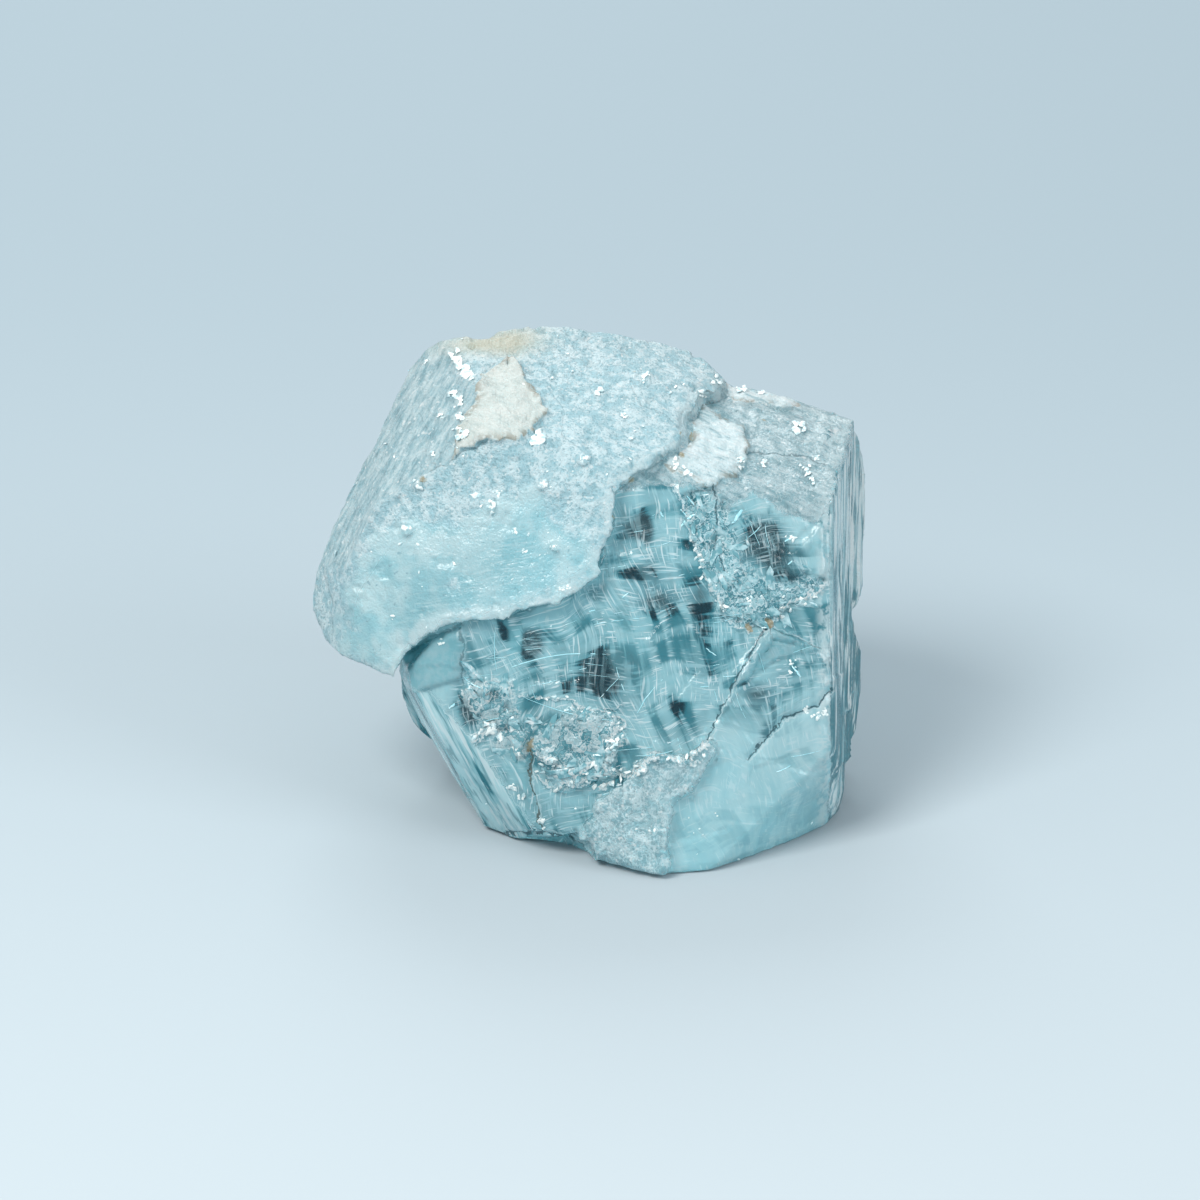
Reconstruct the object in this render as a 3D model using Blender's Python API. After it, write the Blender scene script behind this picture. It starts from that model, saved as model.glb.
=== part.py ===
"""A rough aquamarine crystal of 90 carats: a glassy block of beryl with an etched mass over its upper left.

The stone is drawn as it is looked at: across (to the right), rise (up) and near (towards the eye), in
millimetres from its middle. In the drawing these are +X, +Z and -Y. The finished stone is then leaned
back by LEAN and cut flat underneath, where it rests.
"""

import math
import random

import bmesh
import bpy
from mathutils import Matrix, Vector

MM = 0.001
STONE = "aquamarine_crystal"
CUTTERS = "cutters"

# Driving dimensions
LEAN = math.radians(25.0)  # how far the broken front leans back from upright
STONE_SCALE = 1.0937  # brings the drawn millimetres to 90 carats (18.0 g) of beryl
BASE_BELOW_MIDDLE = 9.15  # from the stone's middle down to the flat that it rests on
FAR = 40.0  # beyond the stone on every side
SLIVER = 0.002  # edges shorter than this are closed up
WELD = 0.001  # corners nearer than this are one corner

# The glassy main block: the corners of its broken front, its two sides, its top and its back
BLOCK_FRONT = [
    (-8.4, -3.5, 3.3), (-7.1, -5.9, 4.0), (-2.9, -10.5, 3.8), (-3.6, -11.0, 2.2), (3.0, -12.6, 5.3),
    (5.4, -12.4, 5.0), (6.9, -12.0, 3.9), (9.7, -11.0, 1.8), (10.9, -10.5, 0.8), (11.2, -6.7, 4.3),
    (11.1, -0.1, 4.8), (11.1, 4.6, 4.7), (5.4, 5.2, 5.6), (1.0, 5.5, 5.7), (-5.2, 0.4, 5.3),
    (4.2, -4.8, 6.1),
]
BLOCK_LEFT = [
    (-8.8, -3.3, 0.9), (-8.4, -4.5, 1.0), (-7.7, -5.9, 1.0), (-7.0, -7.1, 1.2), (-5.9, -8.8, 1.2),
    (-4.9, -10.5, 1.4),
]
BLOCK_RIGHT = [
    (12.3, 8.4, -1.4), (12.0, 0.0, -2.6), (12.0, -7.0, -2.6), (11.9, -8.7, -2.2), (11.6, -9.8, -0.5),
]
BLOCK_TOP = [(11.5, 8.8, -2.4), (9.6, 9.1, -2.8), (8.9, 9.4, -2.9), (7.7, 9.9, -3.0), (5.6, 10.2, -3.2)]
BLOCK_BACK = [
    (5.3, 7.2, -9.7), (5.3, -7.5, -9.7), (-3.4, 5.5, -8.4), (-4.3, -7.0, -8.4), (11.3, 6.2, -5.4),
    (11.3, -8.0, -5.4), (-8.4, 1.0, -5.0), (-6.6, -7.0, -5.6),
]

# The etched mass over the upper left
CAP_FRONT = [
    (-12.9, 0.3, 0.0), (-12.9, -0.5, 0.0), (-12.3, -1.9, 1.0), (-12.6, 1.6, 0.7), (-11.3, 1.4, 3.7),
    (-11.5, -2.6, 2.4), (-9.2, -3.4, 2.8), (-8.9, -3.6, 4.2), (-4.8, -1.9, 6.0), (-1.5, -0.8, 6.6),
    (1.4, 0.8, 6.9), (2.0, 3.6, 6.9), (4.4, 5.7, 6.0), (-4.6, 7.4, 6.0), (-6.3, 6.5, 5.4),
    (-9.8, 4.3, 4.5),
]
CAP_TOP = [
    (-7.7, 11.7, -1.1), (-7.0, 12.1, -0.9), (-5.5, 12.3, -0.7), (-2.9, 12.8, -1.9), (-1.0, 12.8, -2.2),
    (1.8, 12.4, -2.4), (4.7, 11.8, -2.8), (5.2, 11.4, -2.6), (6.4, 10.2, -2.2), (7.0, 9.3, -0.9),
    (-11.9, 3.5, 0.2), (-10.8, 5.5, 0.0), (-9.8, 7.4, -0.5), (-8.4, 10.9, -1.4),
]
CAP_BACK = [(-1.5, 8.8, -8.0), (-6.7, 6.0, -6.6), (-10.4, 0.8, -5.4), (3.4, 8.0, -8.2)]

# The broken edge of that mass, from its lower left round to the top, and the open side that it leaves
CAP_EDGE = [
    (-9.3, -4.4), (-8.95, -3.15), (-8.6, -2.5), (-8.3, -2.1), (-7.3, -1.6), (-5.9, -1.2), (-4.8, -0.9),
    (-4.1, -0.9), (-2.9, -0.4), (-1.8, -0.2), (-0.8, 0.3), (0.0, 0.9), (0.4, 1.5), (0.7, 2.5),
    (1.0, 3.6), (0.9, 4.4), (1.2, 5.0), (1.9, 5.5), (3.0, 6.2), (3.6, 6.4), (4.4, 7.4), (4.5, 8.2),
    (5.0, 9.2), (6.2, 9.9), (6.5, 10.6),
]
CAP_OPEN_SIDE = [(FAR, 12.6), (FAR, -FAR), (-9.3, -FAR)]
CAP_ROOT = -5.0  # the mass reaches down to here in near along its broken edge

# Pieces of the block that stand out at its sides
UPPER_RIGHT_SLAB = [
    (12.3, 8.3, -1.8), (12.7, 7.4, -2.4), (12.9, 5.9, -2.6), (12.9, 3.9, -2.8), (12.8, 0.7, -2.8),
    (12.4, -0.4, -2.6), (11.0, 8.0, 0.4), (11.0, -0.2, 0.4), (10.6, 7.4, -5.2), (10.6, -0.2, -5.2),
]
LOWER_RIGHT_SLAB = [
    (12.4, -1.0, -1.8), (12.7, -2.8, -2.6), (12.7, -4.0, -2.7), (12.4, -6.2, -2.6), (12.0, -7.1, -2.2),
    (11.0, -1.0, 0.2), (11.0, -7.2, 0.2), (10.6, -1.0, -5.0), (10.6, -7.2, -5.0),
]
LEFT_REAR_LUMP = [
    (-8.9, -3.4, -1.4), (-8.8, -4.4, -2.6), (-8.5, -4.9, -3.0), (-8.3, -6.0, -3.2), (-7.0, -6.9, -3.2),
    (-6.5, -7.4, -3.0), (-4.8, -3.0, -1.0), (-4.6, -7.6, -1.4), (-6.4, -3.6, -6.0), (-5.4, -7.0, -6.2),
]

# What is missing under the front's lower left edge
UNDERCUT = [
    (across, rise, near)
    for across, near in ((-6.0, 2.2), (-1.3, 2.4), (0.1, 3.5), (0.1, 8.0), (-6.0, 8.0))
    for rise in (-14.0, -10.95)
]

# Outlines of plates seen from the front, with how far each stands proud (less than nothing: sunk)
UPPER_FLAKE = [
    (-4.0, 11.2), (-3.5, 11.2), (-2.9, 10.1), (-2.3, 9.4), (-2.0, 8.8), (-2.2, 8.3), (-3.1, 7.3),
    (-3.9, 7.3), (-4.5, 7.4), (-5.9, 6.8), (-6.2, 6.5), (-6.0, 7.7), (-5.6, 8.3), (-5.2, 9.0),
    (-5.1, 10.4), (-4.5, 10.8),
]
RIGHT_FLAKE = [
    (5.25, 9.1), (5.5, 9.2), (6.0, 8.6), (6.7, 8.4), (7.3, 8.0), (7.1, 7.7), (7.3, 6.7), (7.2, 6.3),
    (6.6, 5.9), (5.9, 5.5), (5.4, 5.1), (4.5, 5.6), (3.4, 6.05), (3.9, 6.35), (4.65, 7.25), (4.8, 8.3),
]
TOP_RIGHT_RIDGE = [
    (6.55, 9.7), (6.8, 10.6), (9.2, 10.3), (9.5, 9.05), (9.1, 8.95), (8.1, 9.2), (6.7, 9.3),
]
TOP_RIGHT_LEDGE = [
    (7.6, 6.9), (8.6, 6.6), (9.9, 6.7), (10.6, 6.4), (10.9, 7.2), (11.0, 8.2), (9.4, 8.6), (7.9, 8.7),
]
RIGHT_LOWER_FACE = [
    (8.1, -1.2), (7.6, -1.8), (7.0, -3.0), (6.5, -4.1), (5.9, -5.1), (5.4, -6.3), (5.3, -7.1),
    (4.4, -8.6), (3.5, -9.3), (3.3, -10.1), (3.1, -11.4), (3.1, -13.6), (13.5, -13.6), (13.5, -9.2),
    (10.9, -8.6), (10.8, -2.6), (9.4, -1.7),
]
LOWER_PLATE = [
    (-0.6, -11.0), (-0.3, -10.2), (0.4, -9.2), (1.9, -8.0), (2.3, -7.7), (2.9, -7.2), (3.4, -7.4),
    (4.1, -7.2), (4.5, -7.5), (5.3, -6.7), (5.7, -7.0), (5.1, -7.7), (4.7, -8.5), (3.8, -9.1),
    (3.6, -10.0), (3.4, -11.4), (3.6, -13.5), (1.2, -13.5), (0.2, -12.0),
]
CRINKLED_PATCH = [
    (-2.5, -5.9), (-2.6, -6.8), (-2.2, -7.7), (-1.2, -8.8), (0.0, -8.5), (1.0, -8.1), (1.6, -6.5),
    (0.9, -5.3), (-0.8, -5.1),
]
SCALY_PATCH = [
    (4.7, 4.6), (5.1, 1.8), (6.1, -0.9), (7.3, -1.0), (8.1, -0.9), (9.9, 0.0), (10.8, 1.3),
    (10.7, 3.7), (9.9, 2.7), (8.9, 1.8), (8.0, 2.7), (7.0, 3.7), (5.9, 3.9),
]
PALE_PATCH = [
    (-8.3, -2.4), (-7.1, -1.9), (-5.9, -1.5), (-5.9, -2.1), (-5.9, -3.6), (-7.1, -3.9), (-7.8, -4.1),
]
WEDGE_HOLLOW = [
    (8.3, -1.7), (7.5, -2.6), (7.0, -3.8), (8.5, -3.0), (9.6, -2.6), (10.2, -2.4), (9.4, -1.9),
]
FRONT_PLATES = [
    (UPPER_FLAKE, 0.30), (RIGHT_FLAKE, 0.40), (TOP_RIGHT_RIDGE, 0.35), (TOP_RIGHT_LEDGE, 0.25),
    (RIGHT_LOWER_FACE, 0.15), (LOWER_PLATE, 0.55), (CRINKLED_PATCH, 0.30), (SCALY_PATCH, 0.22),
    (PALE_PATCH, 0.20), (WEDGE_HOLLOW, -0.25),
]

# Small grains grown on the etched mass: across, rise and half width
GRAINS = [
    (-6.2, 11.2, 0.34), (-5.7, 10.4, 0.42), (-6.3, 9.5, 0.30), (-6.9, 8.5, 0.30), (-7.2, 6.6, 0.36),
    (-7.9, 5.3, 0.28), (-2.4, 7.4, 0.34), (-4.5, 4.2, 0.26), (-2.2, 5.2, 0.24), (-0.3, 6.4, 0.30),
    (-8.4, 3.2, 0.30), (-1.6, 2.4, 0.24), (0.4, 9.6, 0.34), (2.6, 10.4, 0.30), (9.6, 8.0, 0.36),
]
GRAIN_PROUD = 0.22
GRAIN_SIDES = 6
GRAIN_CORNER_TURN = 18.0  # degrees that a grain's corner may be turned from its even place
GRAIN_REACH = (0.75, 1.25)  # of the half width, least and most

# Outlines of plates at the back, seen through the stone from the front
BACK_UPPER_PLATE = [
    (-6.0, 8.0), (-2.5, 9.2), (1.2, 9.0), (2.4, 6.6), (0.6, 5.0), (-2.8, 5.6), (-5.4, 4.2), (-7.4, 6.0),
]
BACK_LEFT_PLATE = [(-7.4, 0.5), (-5.0, 1.8), (-3.0, 0.4), (-3.6, -2.6), (-6.2, -3.2)]
BACK_HOLLOW = [(-2.0, -2.0), (0.5, -1.0), (3.0, -2.6), (2.4, -5.4), (-0.6, -6.0), (-2.6, -4.4)]
BACK_RIGHT_PLATE = [(6.4, 5.0), (8.4, 5.6), (9.8, 3.6), (9.2, 0.6), (7.4, -0.4), (6.0, 1.6)]
BACK_PLATES = [
    (BACK_UPPER_PLATE, 0.5), (BACK_LEFT_PLATE, 0.4), (BACK_HOLLOW, -0.5), (BACK_RIGHT_PLATE, 0.35),
]
PLATE_ROOT = 3.0  # how far past the middle plane a plate is rooted

# Shell-shaped chips out of the edges: the middle, then the half sizes across, in rise and in near
CHIPS = [
    ((-5.7, 13.0, -1.0), (1.5, 0.75, 3.0)), ((-11.0, 7.6, 0.0), (1.1, 1.7, 2.4)),
    ((11.9, 3.0, -5.9), (1.0, 2.0, 1.0)), ((5.6, -2.2, -10.4), (1.5, 2.2, 1.2)),
    ((-3.6, 8.8, -8.2), (2.0, 1.4, 1.2)), ((1.4, 10.9, -6.6), (2.4, 1.2, 1.4)),
    ((-12.2, 3.6, -2.4), (1.1, 1.6, 1.5)), ((8.8, -8.6, -8.4), (1.6, 2.4, 1.4)),
    ((-8.3, -0.6, -5.6), (1.4, 1.5, 1.2)), ((10.0, 8.6, -5.2), (1.6, 1.2, 1.3)),
]
CHIP_TURN = math.radians(20.0)
CHIP_FINENESS = 2  # times that the chip's icosahedron is subdivided

# Growth ridges on the prism faces: two plan points (across, near) of the face, then the rise where they
# start and stop
RIDGED_SLABS = [
    ((11.25, 3.6), (12.0, -2.2), -7.6, 3.4), ((11.4, 2.6), (12.1, -1.6), -5.2, 1.6),
    ((11.1, -5.4), (5.9, -9.3), -14.0, 5.4), ((10.2, -6.2), (6.9, -8.7), -4.6, 2.2),
    ((4.7, -9.65), (-2.9, -8.55), -14.0, 5.2), ((3.6, -9.6), (-1.4, -8.8), -3.2, 3.6),
]
RIDGE_WIDTH = (0.35, 1.1)  # along the face, least and most
RIDGE_PROUD = (0.08, 0.30)
RIDGE_CREST = (0.3, 0.7)  # where across a ridge its crest runs, least and most
RIDGE_VALLEY = -0.12  # how far the valleys between ridges lie within the face
RIDGE_ROOT = 1.2  # how deep a slab is rooted in the face
SEED = 9


def drawn(across, rise, near):
    """The point of the drawing in metres."""
    return Vector((across, -near, rise)) * MM


def collection(name):
    """The collection of that name, made if it isn't there yet."""
    found = bpy.data.collections.get(name)
    if found is None:
        found = bpy.data.collections.new(name)
        bpy.context.scene.collection.children.link(found)
    return found


def add_object(name, mesh):
    """Links a new object that holds the mesh: the stone, or a piece that shapes it and is used up."""
    body = bpy.data.objects.new(name, mesh)
    if name == STONE:
        collection(STONE).objects.link(body)
        return body
    collection(CUTTERS).objects.link(body)
    body.hide_render = True
    body.display_type = "WIRE"
    return body


def take_primitive(name):
    """The active primitive's mesh as one of the pieces that shape the stone."""
    primitive = bpy.context.object
    mesh = primitive.data
    mesh.transform(primitive.matrix_world)
    bpy.data.objects.remove(primitive)
    return add_object(name, mesh)


def hull(name, corners):
    """The convex solid round a list of (across, rise, near) corners."""
    work = bmesh.new()
    for corner in corners:
        work.verts.new(drawn(*corner))
    made = bmesh.ops.convex_hull(work, input=work.verts)
    bmesh.ops.delete(work, geom=made["geom_interior"], context="VERTS")
    bmesh.ops.recalc_face_normals(work, faces=work.faces)
    mesh = bpy.data.meshes.new(name)
    work.to_mesh(mesh)
    work.free()
    return add_object(name, mesh)


def evaluated_mesh(body):
    """The body's mesh with its modifiers, or a curve's surface, as a mesh of its own."""
    graph = bpy.context.evaluated_depsgraph_get()
    return bpy.data.meshes.new_from_object(body.evaluated_get(graph))


def extruded(name, outline, low, high):
    """A flat outline of (x, y) points carried from z = low to z = high, all in millimetres."""
    curve = bpy.data.curves.new(name, "CURVE")
    curve.dimensions = "2D"
    curve.fill_mode = "BOTH"
    curve.extrude = (high - low) / 2 * MM
    spline = curve.splines.new("POLY")
    spline.points.add(len(outline) - 1)
    for point, (x, y) in zip(spline.points, outline):
        point.co = (x * MM, y * MM, 0.0, 1.0)
    spline.use_cyclic_u = True
    drawing = add_object(name, curve)
    mesh = evaluated_mesh(drawing)
    bpy.data.objects.remove(drawing)
    mesh.transform(Matrix.Translation((0.0, 0.0, (high + low) / 2 * MM)))
    work = bmesh.new()
    work.from_mesh(mesh)
    bmesh.ops.remove_doubles(work, verts=work.verts, dist=WELD * MM)
    bmesh.ops.recalc_face_normals(work, faces=work.faces)
    work.to_mesh(mesh)
    work.free()
    return add_object(name, mesh)


def outline_block(name, outline, back, front):
    """An (across, rise) outline carried from near = back to near = front."""
    block = extruded(name, outline, back, front)
    block.data.transform(Matrix.Rotation(math.pi / 2, 4, "X"))
    return block


def combine(body, tool, operation):
    """Joins the tool to the body, cuts it away or keeps what they share, and uses the tool up."""
    modifier = body.modifiers.new("Combine", "BOOLEAN")
    modifier.operation = operation
    modifier.object = tool
    mesh = evaluated_mesh(body)
    body.modifiers.clear()
    bpy.data.objects.remove(tool)
    work = bmesh.new()
    work.from_mesh(mesh)
    bmesh.ops.dissolve_degenerate(work, edges=work.edges, dist=SLIVER * MM)
    work.to_mesh(mesh)
    work.free()
    body.data = mesh


def shifted_copy(body, toward_eye):
    """A copy of the body moved towards the eye."""
    copy = add_object(body.name + "_moved", body.data.copy())
    copy.data.transform(Matrix.Translation(drawn(0.0, 0.0, toward_eye)))
    return copy


def add_plate(body, outline, proud, side=1):
    """Raises the front (side 1) or the back (side -1) inside an outline, or sinks it where proud is under 0."""
    back, front = sorted((-side * PLATE_ROOT, side * FAR))
    plate = outline_block("plate", outline, back, front)
    moved = shifted_copy(body, side * proud)
    if proud > 0:
        combine(plate, moved, "INTERSECT")
        combine(body, plate, "UNION")
    else:
        combine(plate, moved, "DIFFERENCE")
        combine(body, plate, "DIFFERENCE")


def grain_outline(across, rise, half_width, rng):
    """A grain's uneven outline round one point."""
    corners = []
    for turn in range(GRAIN_SIDES):
        uneven = rng.uniform(-GRAIN_CORNER_TURN, GRAIN_CORNER_TURN)
        angle = math.radians(360.0 / GRAIN_SIDES * turn + uneven)
        reach = half_width * rng.uniform(*GRAIN_REACH)
        corners.append((across + reach * math.cos(angle), rise + reach * math.sin(angle)))
    return corners


def chip_away(body, middle, half_sizes):
    """Takes a shell-shaped hollow out of the body."""
    bpy.ops.mesh.primitive_ico_sphere_add(subdivisions=CHIP_FINENESS, radius=1.0)
    bowl = take_primitive("bowl")
    across, rise, near = half_sizes
    spread = Matrix.Diagonal((across * MM, near * MM, rise * MM, 1.0))
    turn = Matrix.Rotation(CHIP_TURN, 4, "Y")
    bowl.data.transform(Matrix.Translation(drawn(*middle)) @ turn @ spread)
    combine(body, bowl, "DIFFERENCE")


def make_main_block():
    """The glassy block, with the slabs and the lump that stand out at its sides."""
    block = hull(STONE, BLOCK_FRONT + BLOCK_LEFT + BLOCK_RIGHT + BLOCK_TOP + BLOCK_BACK)
    for corners in (UPPER_RIGHT_SLAB, LOWER_RIGHT_SLAB, LEFT_REAR_LUMP):
        combine(block, hull("piece", corners), "UNION")
    combine(block, hull("undercut", UNDERCUT), "DIFFERENCE")
    return block


def make_cap():
    """The etched mass, ended at its broken edge."""
    cap = hull("cap", CAP_FRONT + CAP_TOP + CAP_BACK)
    combine(cap, outline_block("open_side", CAP_EDGE + CAP_OPEN_SIDE, CAP_ROOT, FAR), "DIFFERENCE")
    return cap


def ridged_slab(face, rng):
    """A slab that runs up one prism face, with ridges of uneven width side by side on its outside."""
    (start_across, start_near), (end_across, end_near), low, high = face
    start = Vector((start_across, -start_near))
    along = Vector((end_across, -end_near)) - start
    length = along.length
    along.normalize()
    outward = Vector((-along.y, along.x))
    if outward.dot(start) < 0:
        outward.negate()
    outline = [start - outward * RIDGE_ROOT]
    place = 0.0
    while place < length:
        width = rng.uniform(*RIDGE_WIDTH)
        crest = place + width * rng.uniform(*RIDGE_CREST)
        outline.append(start + along * place + outward * RIDGE_VALLEY)
        outline.append(start + along * crest + outward * rng.uniform(*RIDGE_PROUD))
        place += width
    outline.append(start + along * place + outward * RIDGE_VALLEY)
    outline.append(start + along * place - outward * RIDGE_ROOT)
    return extruded("ridged_slab", [tuple(point) for point in outline], low, high)


def rest_flat(body):
    """Leans the stone back, scales it to its weight, cuts its base flat and centres it over the origin."""
    lean = Matrix.Rotation(-LEAN, 4, "X")
    raised = Matrix.Translation((0.0, 0.0, BASE_BELOW_MIDDLE * MM))
    body.data.transform(Matrix.Scale(STONE_SCALE, 4) @ raised @ lean)
    bpy.ops.mesh.primitive_cube_add(size=2 * FAR * MM, location=(0.0, 0.0, -FAR * MM))
    bpy.context.view_layer.update()
    combine(body, take_primitive("below_base"), "DIFFERENCE")
    across = [v.co.x for v in body.data.vertices]
    depth = [v.co.y for v in body.data.vertices]
    middle = Vector((min(across) + max(across), min(depth) + max(depth), 0.0)) / 2
    body.data.transform(Matrix.Translation(-middle))


def beryl_material():
    """Pale blue-green beryl, glassy where it is freshly broken."""
    material = bpy.data.materials.new("beryl")
    material.use_nodes = True
    shader = material.node_tree.nodes["Principled BSDF"]
    shader.inputs["Base Color"].default_value = (0.45, 0.75, 0.78, 1.0)
    shader.inputs["Roughness"].default_value = 0.25
    shader.inputs["IOR"].default_value = 1.57
    shader.inputs["Transmission Weight"].default_value = 0.6
    return material


def main():
    for old in list(bpy.data.objects):
        bpy.data.objects.remove(old)
    rng = random.Random(SEED)
    stone = make_main_block()
    for face in RIDGED_SLABS:
        combine(stone, ridged_slab(face, rng), "UNION")
    combine(stone, make_cap(), "UNION")
    for outline, proud in FRONT_PLATES:
        add_plate(stone, outline, proud)
    for across, rise, half_width in GRAINS:
        add_plate(stone, grain_outline(across, rise, half_width, rng), GRAIN_PROUD)
    for outline, proud in BACK_PLATES:
        add_plate(stone, outline, proud, side=-1)
    for middle, half_sizes in CHIPS:
        chip_away(stone, middle, half_sizes)
    rest_flat(stone)
    stone.data.materials.clear()
    stone.data.materials.append(beryl_material())


main()
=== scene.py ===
"""The looks of a rough aquamarine crystal: its relief, its veils and its finishes, in a plain studio.

Shapes are drawn as the stone is looked at: across (to the right), rise (up) and near (towards the eye), in
millimetres from its middle. StoneFrame turns that drawing into the row frame's metres and back.
"""

import logging
import math
from dataclasses import dataclass, field
from enum import Enum

import bmesh
import bpy
import numpy as np
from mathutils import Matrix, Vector


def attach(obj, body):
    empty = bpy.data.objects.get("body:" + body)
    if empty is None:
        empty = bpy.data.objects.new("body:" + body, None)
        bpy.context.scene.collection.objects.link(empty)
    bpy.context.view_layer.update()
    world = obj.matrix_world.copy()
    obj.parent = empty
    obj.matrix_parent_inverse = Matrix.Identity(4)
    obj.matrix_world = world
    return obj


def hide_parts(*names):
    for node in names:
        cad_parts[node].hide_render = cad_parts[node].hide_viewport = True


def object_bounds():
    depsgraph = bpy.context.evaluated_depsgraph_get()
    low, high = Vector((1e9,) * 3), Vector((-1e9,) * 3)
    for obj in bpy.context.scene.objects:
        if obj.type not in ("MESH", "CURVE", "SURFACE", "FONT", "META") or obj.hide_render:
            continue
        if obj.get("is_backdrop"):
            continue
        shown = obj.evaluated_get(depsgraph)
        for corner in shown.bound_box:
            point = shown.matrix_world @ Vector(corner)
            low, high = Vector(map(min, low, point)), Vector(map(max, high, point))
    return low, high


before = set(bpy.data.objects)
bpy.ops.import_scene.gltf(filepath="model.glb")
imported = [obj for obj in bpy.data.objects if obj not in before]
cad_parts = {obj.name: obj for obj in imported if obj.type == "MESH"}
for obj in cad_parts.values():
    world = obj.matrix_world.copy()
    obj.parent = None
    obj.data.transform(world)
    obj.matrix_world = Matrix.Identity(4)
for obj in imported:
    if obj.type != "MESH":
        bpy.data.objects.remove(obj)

LOG = logging.getLogger("aquamarine")
NODE = "aquamarine_crystal"
MM = 0.001
BERYL_IOR = 1.57
BUMP_HEIGHT = 0.08 * MM
OUTSIDE = -3.0  # a depth, in millimetres, that is well outside any outline

Points = np.ndarray
Colour = tuple[float, float, float]
Spot = tuple[float, float]
Line = tuple[Spot, ...]


def screen(red: int, green: int, blue: int) -> Colour:
    """A colour given as it shows on a screen, 0 to 255, as the linear values that a shader takes."""
    parts = (part / 255.0 for part in (red, green, blue))
    return tuple(p / 12.92 if p <= 0.04045 else ((p + 0.055) / 1.055) ** 2.4 for p in parts)


@dataclass(frozen=True)
class StoneFrame:
    """Where the drawing lies in the row frame: the stone leans back, is scaled and stands on z = 0.

    Its sizes are the ones that the solid is drawn with.
    """

    lean: float = math.radians(25.0)
    scale: float = 1.0937
    base_below_middle: float = 9.15
    moved_forward: float = 0.5939

    def to_drawing(self, metres: Points) -> Points:
        """Turns row-frame points into drawing points.

        Args:
            metres: an (N, 3) array in the row frame.

        Returns:
            An (N, 3) array of across, rise and near in millimetres.
        """
        x, y, z = (metres / MM).T
        back = (y + self.moved_forward) / self.scale
        up = z / self.scale - self.base_below_middle
        rise = back * math.sin(self.lean) + up * math.cos(self.lean)
        near = up * math.sin(self.lean) - back * math.cos(self.lean)
        return np.stack([x / self.scale, rise, near], axis=-1)

    def to_row(self, drawn: Points) -> Points:
        """Turns drawing points into row-frame points.

        Args:
            drawn: an (..., 3) array of across, rise and near in millimetres.

        Returns:
            The same array shape, in metres.
        """
        across, rise, near = np.moveaxis(drawn, -1, 0)
        back = rise * math.sin(self.lean) - near * math.cos(self.lean)
        up = rise * math.cos(self.lean) + near * math.sin(self.lean) + self.base_below_middle
        return np.stack([across * self.scale, back * self.scale - self.moved_forward, up * self.scale], -1) * MM

    def directions(self, normals: Points) -> Points:
        """Turns row-frame directions into drawing directions (across, rise, near)."""
        x, y, z = normals.T
        rise = y * math.sin(self.lean) + z * math.cos(self.lean)
        near = z * math.sin(self.lean) - y * math.cos(self.lean)
        return np.stack([x, rise, near], axis=-1)


STONE = StoneFrame()


@dataclass(frozen=True)
class Lattice:
    """Seeded noise on a lattice of unit cells, for whole arrays of points."""

    seed: int

    def corner(self, cell: Points, channel: int = 0) -> Points:
        """A fixed pseudo-random number from 0 to 1 for each whole-numbered cell, by mixing its bits."""
        x, y, z = (cell[..., i].astype(np.int64) for i in range(3))
        mixed = x * 73856093 ^ y * 19349663 ^ z * 83492791 ^ (self.seed * 7919 + channel * 104729)
        mixed = (mixed ^ (mixed >> 13)) * 1274126177 & 0x7FFFFFFF
        mixed = (mixed ^ (mixed >> 16)) * 668265263 & 0x7FFFFFFF
        return (mixed ^ (mixed >> 15)) / float(0x7FFFFFFF)

    def value(self, points: Points) -> Points:
        """Smooth noise from -1 to 1: the corners' numbers blended by a fifth-order ease along each axis."""
        cell = np.floor(points)
        part = points - cell
        ease = part**3 * (part * (part * 6 - 15) + 10)
        total = np.zeros(points.shape[:-1])
        for step in range(8):
            offset = np.array([step & 1, step >> 1 & 1, step >> 2 & 1])
            weight = np.prod(np.where(offset, ease, 1 - ease), axis=-1)
            total += weight * self.corner(cell + offset)
        return total * 2 - 1

    def layered(self, points: Points, size: float, octaves: int = 4, fade: float = 0.5) -> Points:
        """Noise summed over octaves, each half the size of the one before and fade times as strong.

        Args:
            points: (..., 3) positions in millimetres.
            size: the largest lump's size in millimetres.
            octaves: how many layers.
            fade: how much weaker each next layer is.

        Returns:
            Values of about -1 to 1.
        """
        total = np.zeros(points.shape[:-1])
        strength, whole = 1.0, 0.0
        for octave in range(octaves):
            total += strength * Lattice(self.seed + 17 * octave).value(points / size * 2**octave)
            whole += strength
            strength *= fade
        return total / whole

    def shards(self, points: Points, size: float) -> tuple[Points, Points]:
        """Splits space into uneven cells round one random point in each lattice cell.

        Args:
            points: (N, 3) positions in millimetres.
            size: a cell's size in millimetres.

        Returns:
            For each point a height from -1 to 1 on its cell's own tilted plane, and how far it is from the
            nearest border between cells, in cell sizes.
        """
        where = points / size
        cell = np.floor(where)
        best = np.full(len(where), 9.0)
        second = np.full(len(where), 9.0)
        height = np.zeros(len(where))
        for step in range(27):
            offset = np.array([step % 3 - 1, step // 3 % 3 - 1, step // 9 - 1])
            there = cell + offset
            seed_point = there + np.stack([self.corner(there, c) for c in (1, 2, 3)], -1)
            gap = where - seed_point
            distance = np.linalg.norm(gap, axis=-1)
            tilt = np.stack([self.corner(there, c) for c in (4, 5, 6)], -1) * 2 - 1
            plane = np.sum(gap * tilt, axis=-1) + (self.corner(there, 7) - 0.5)
            closer = distance < best
            second = np.where(closer, best, np.minimum(second, distance))
            height = np.where(closer, plane, height)
            best = np.where(closer, distance, best)
        return np.clip(height, -1, 1), second - best


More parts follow.
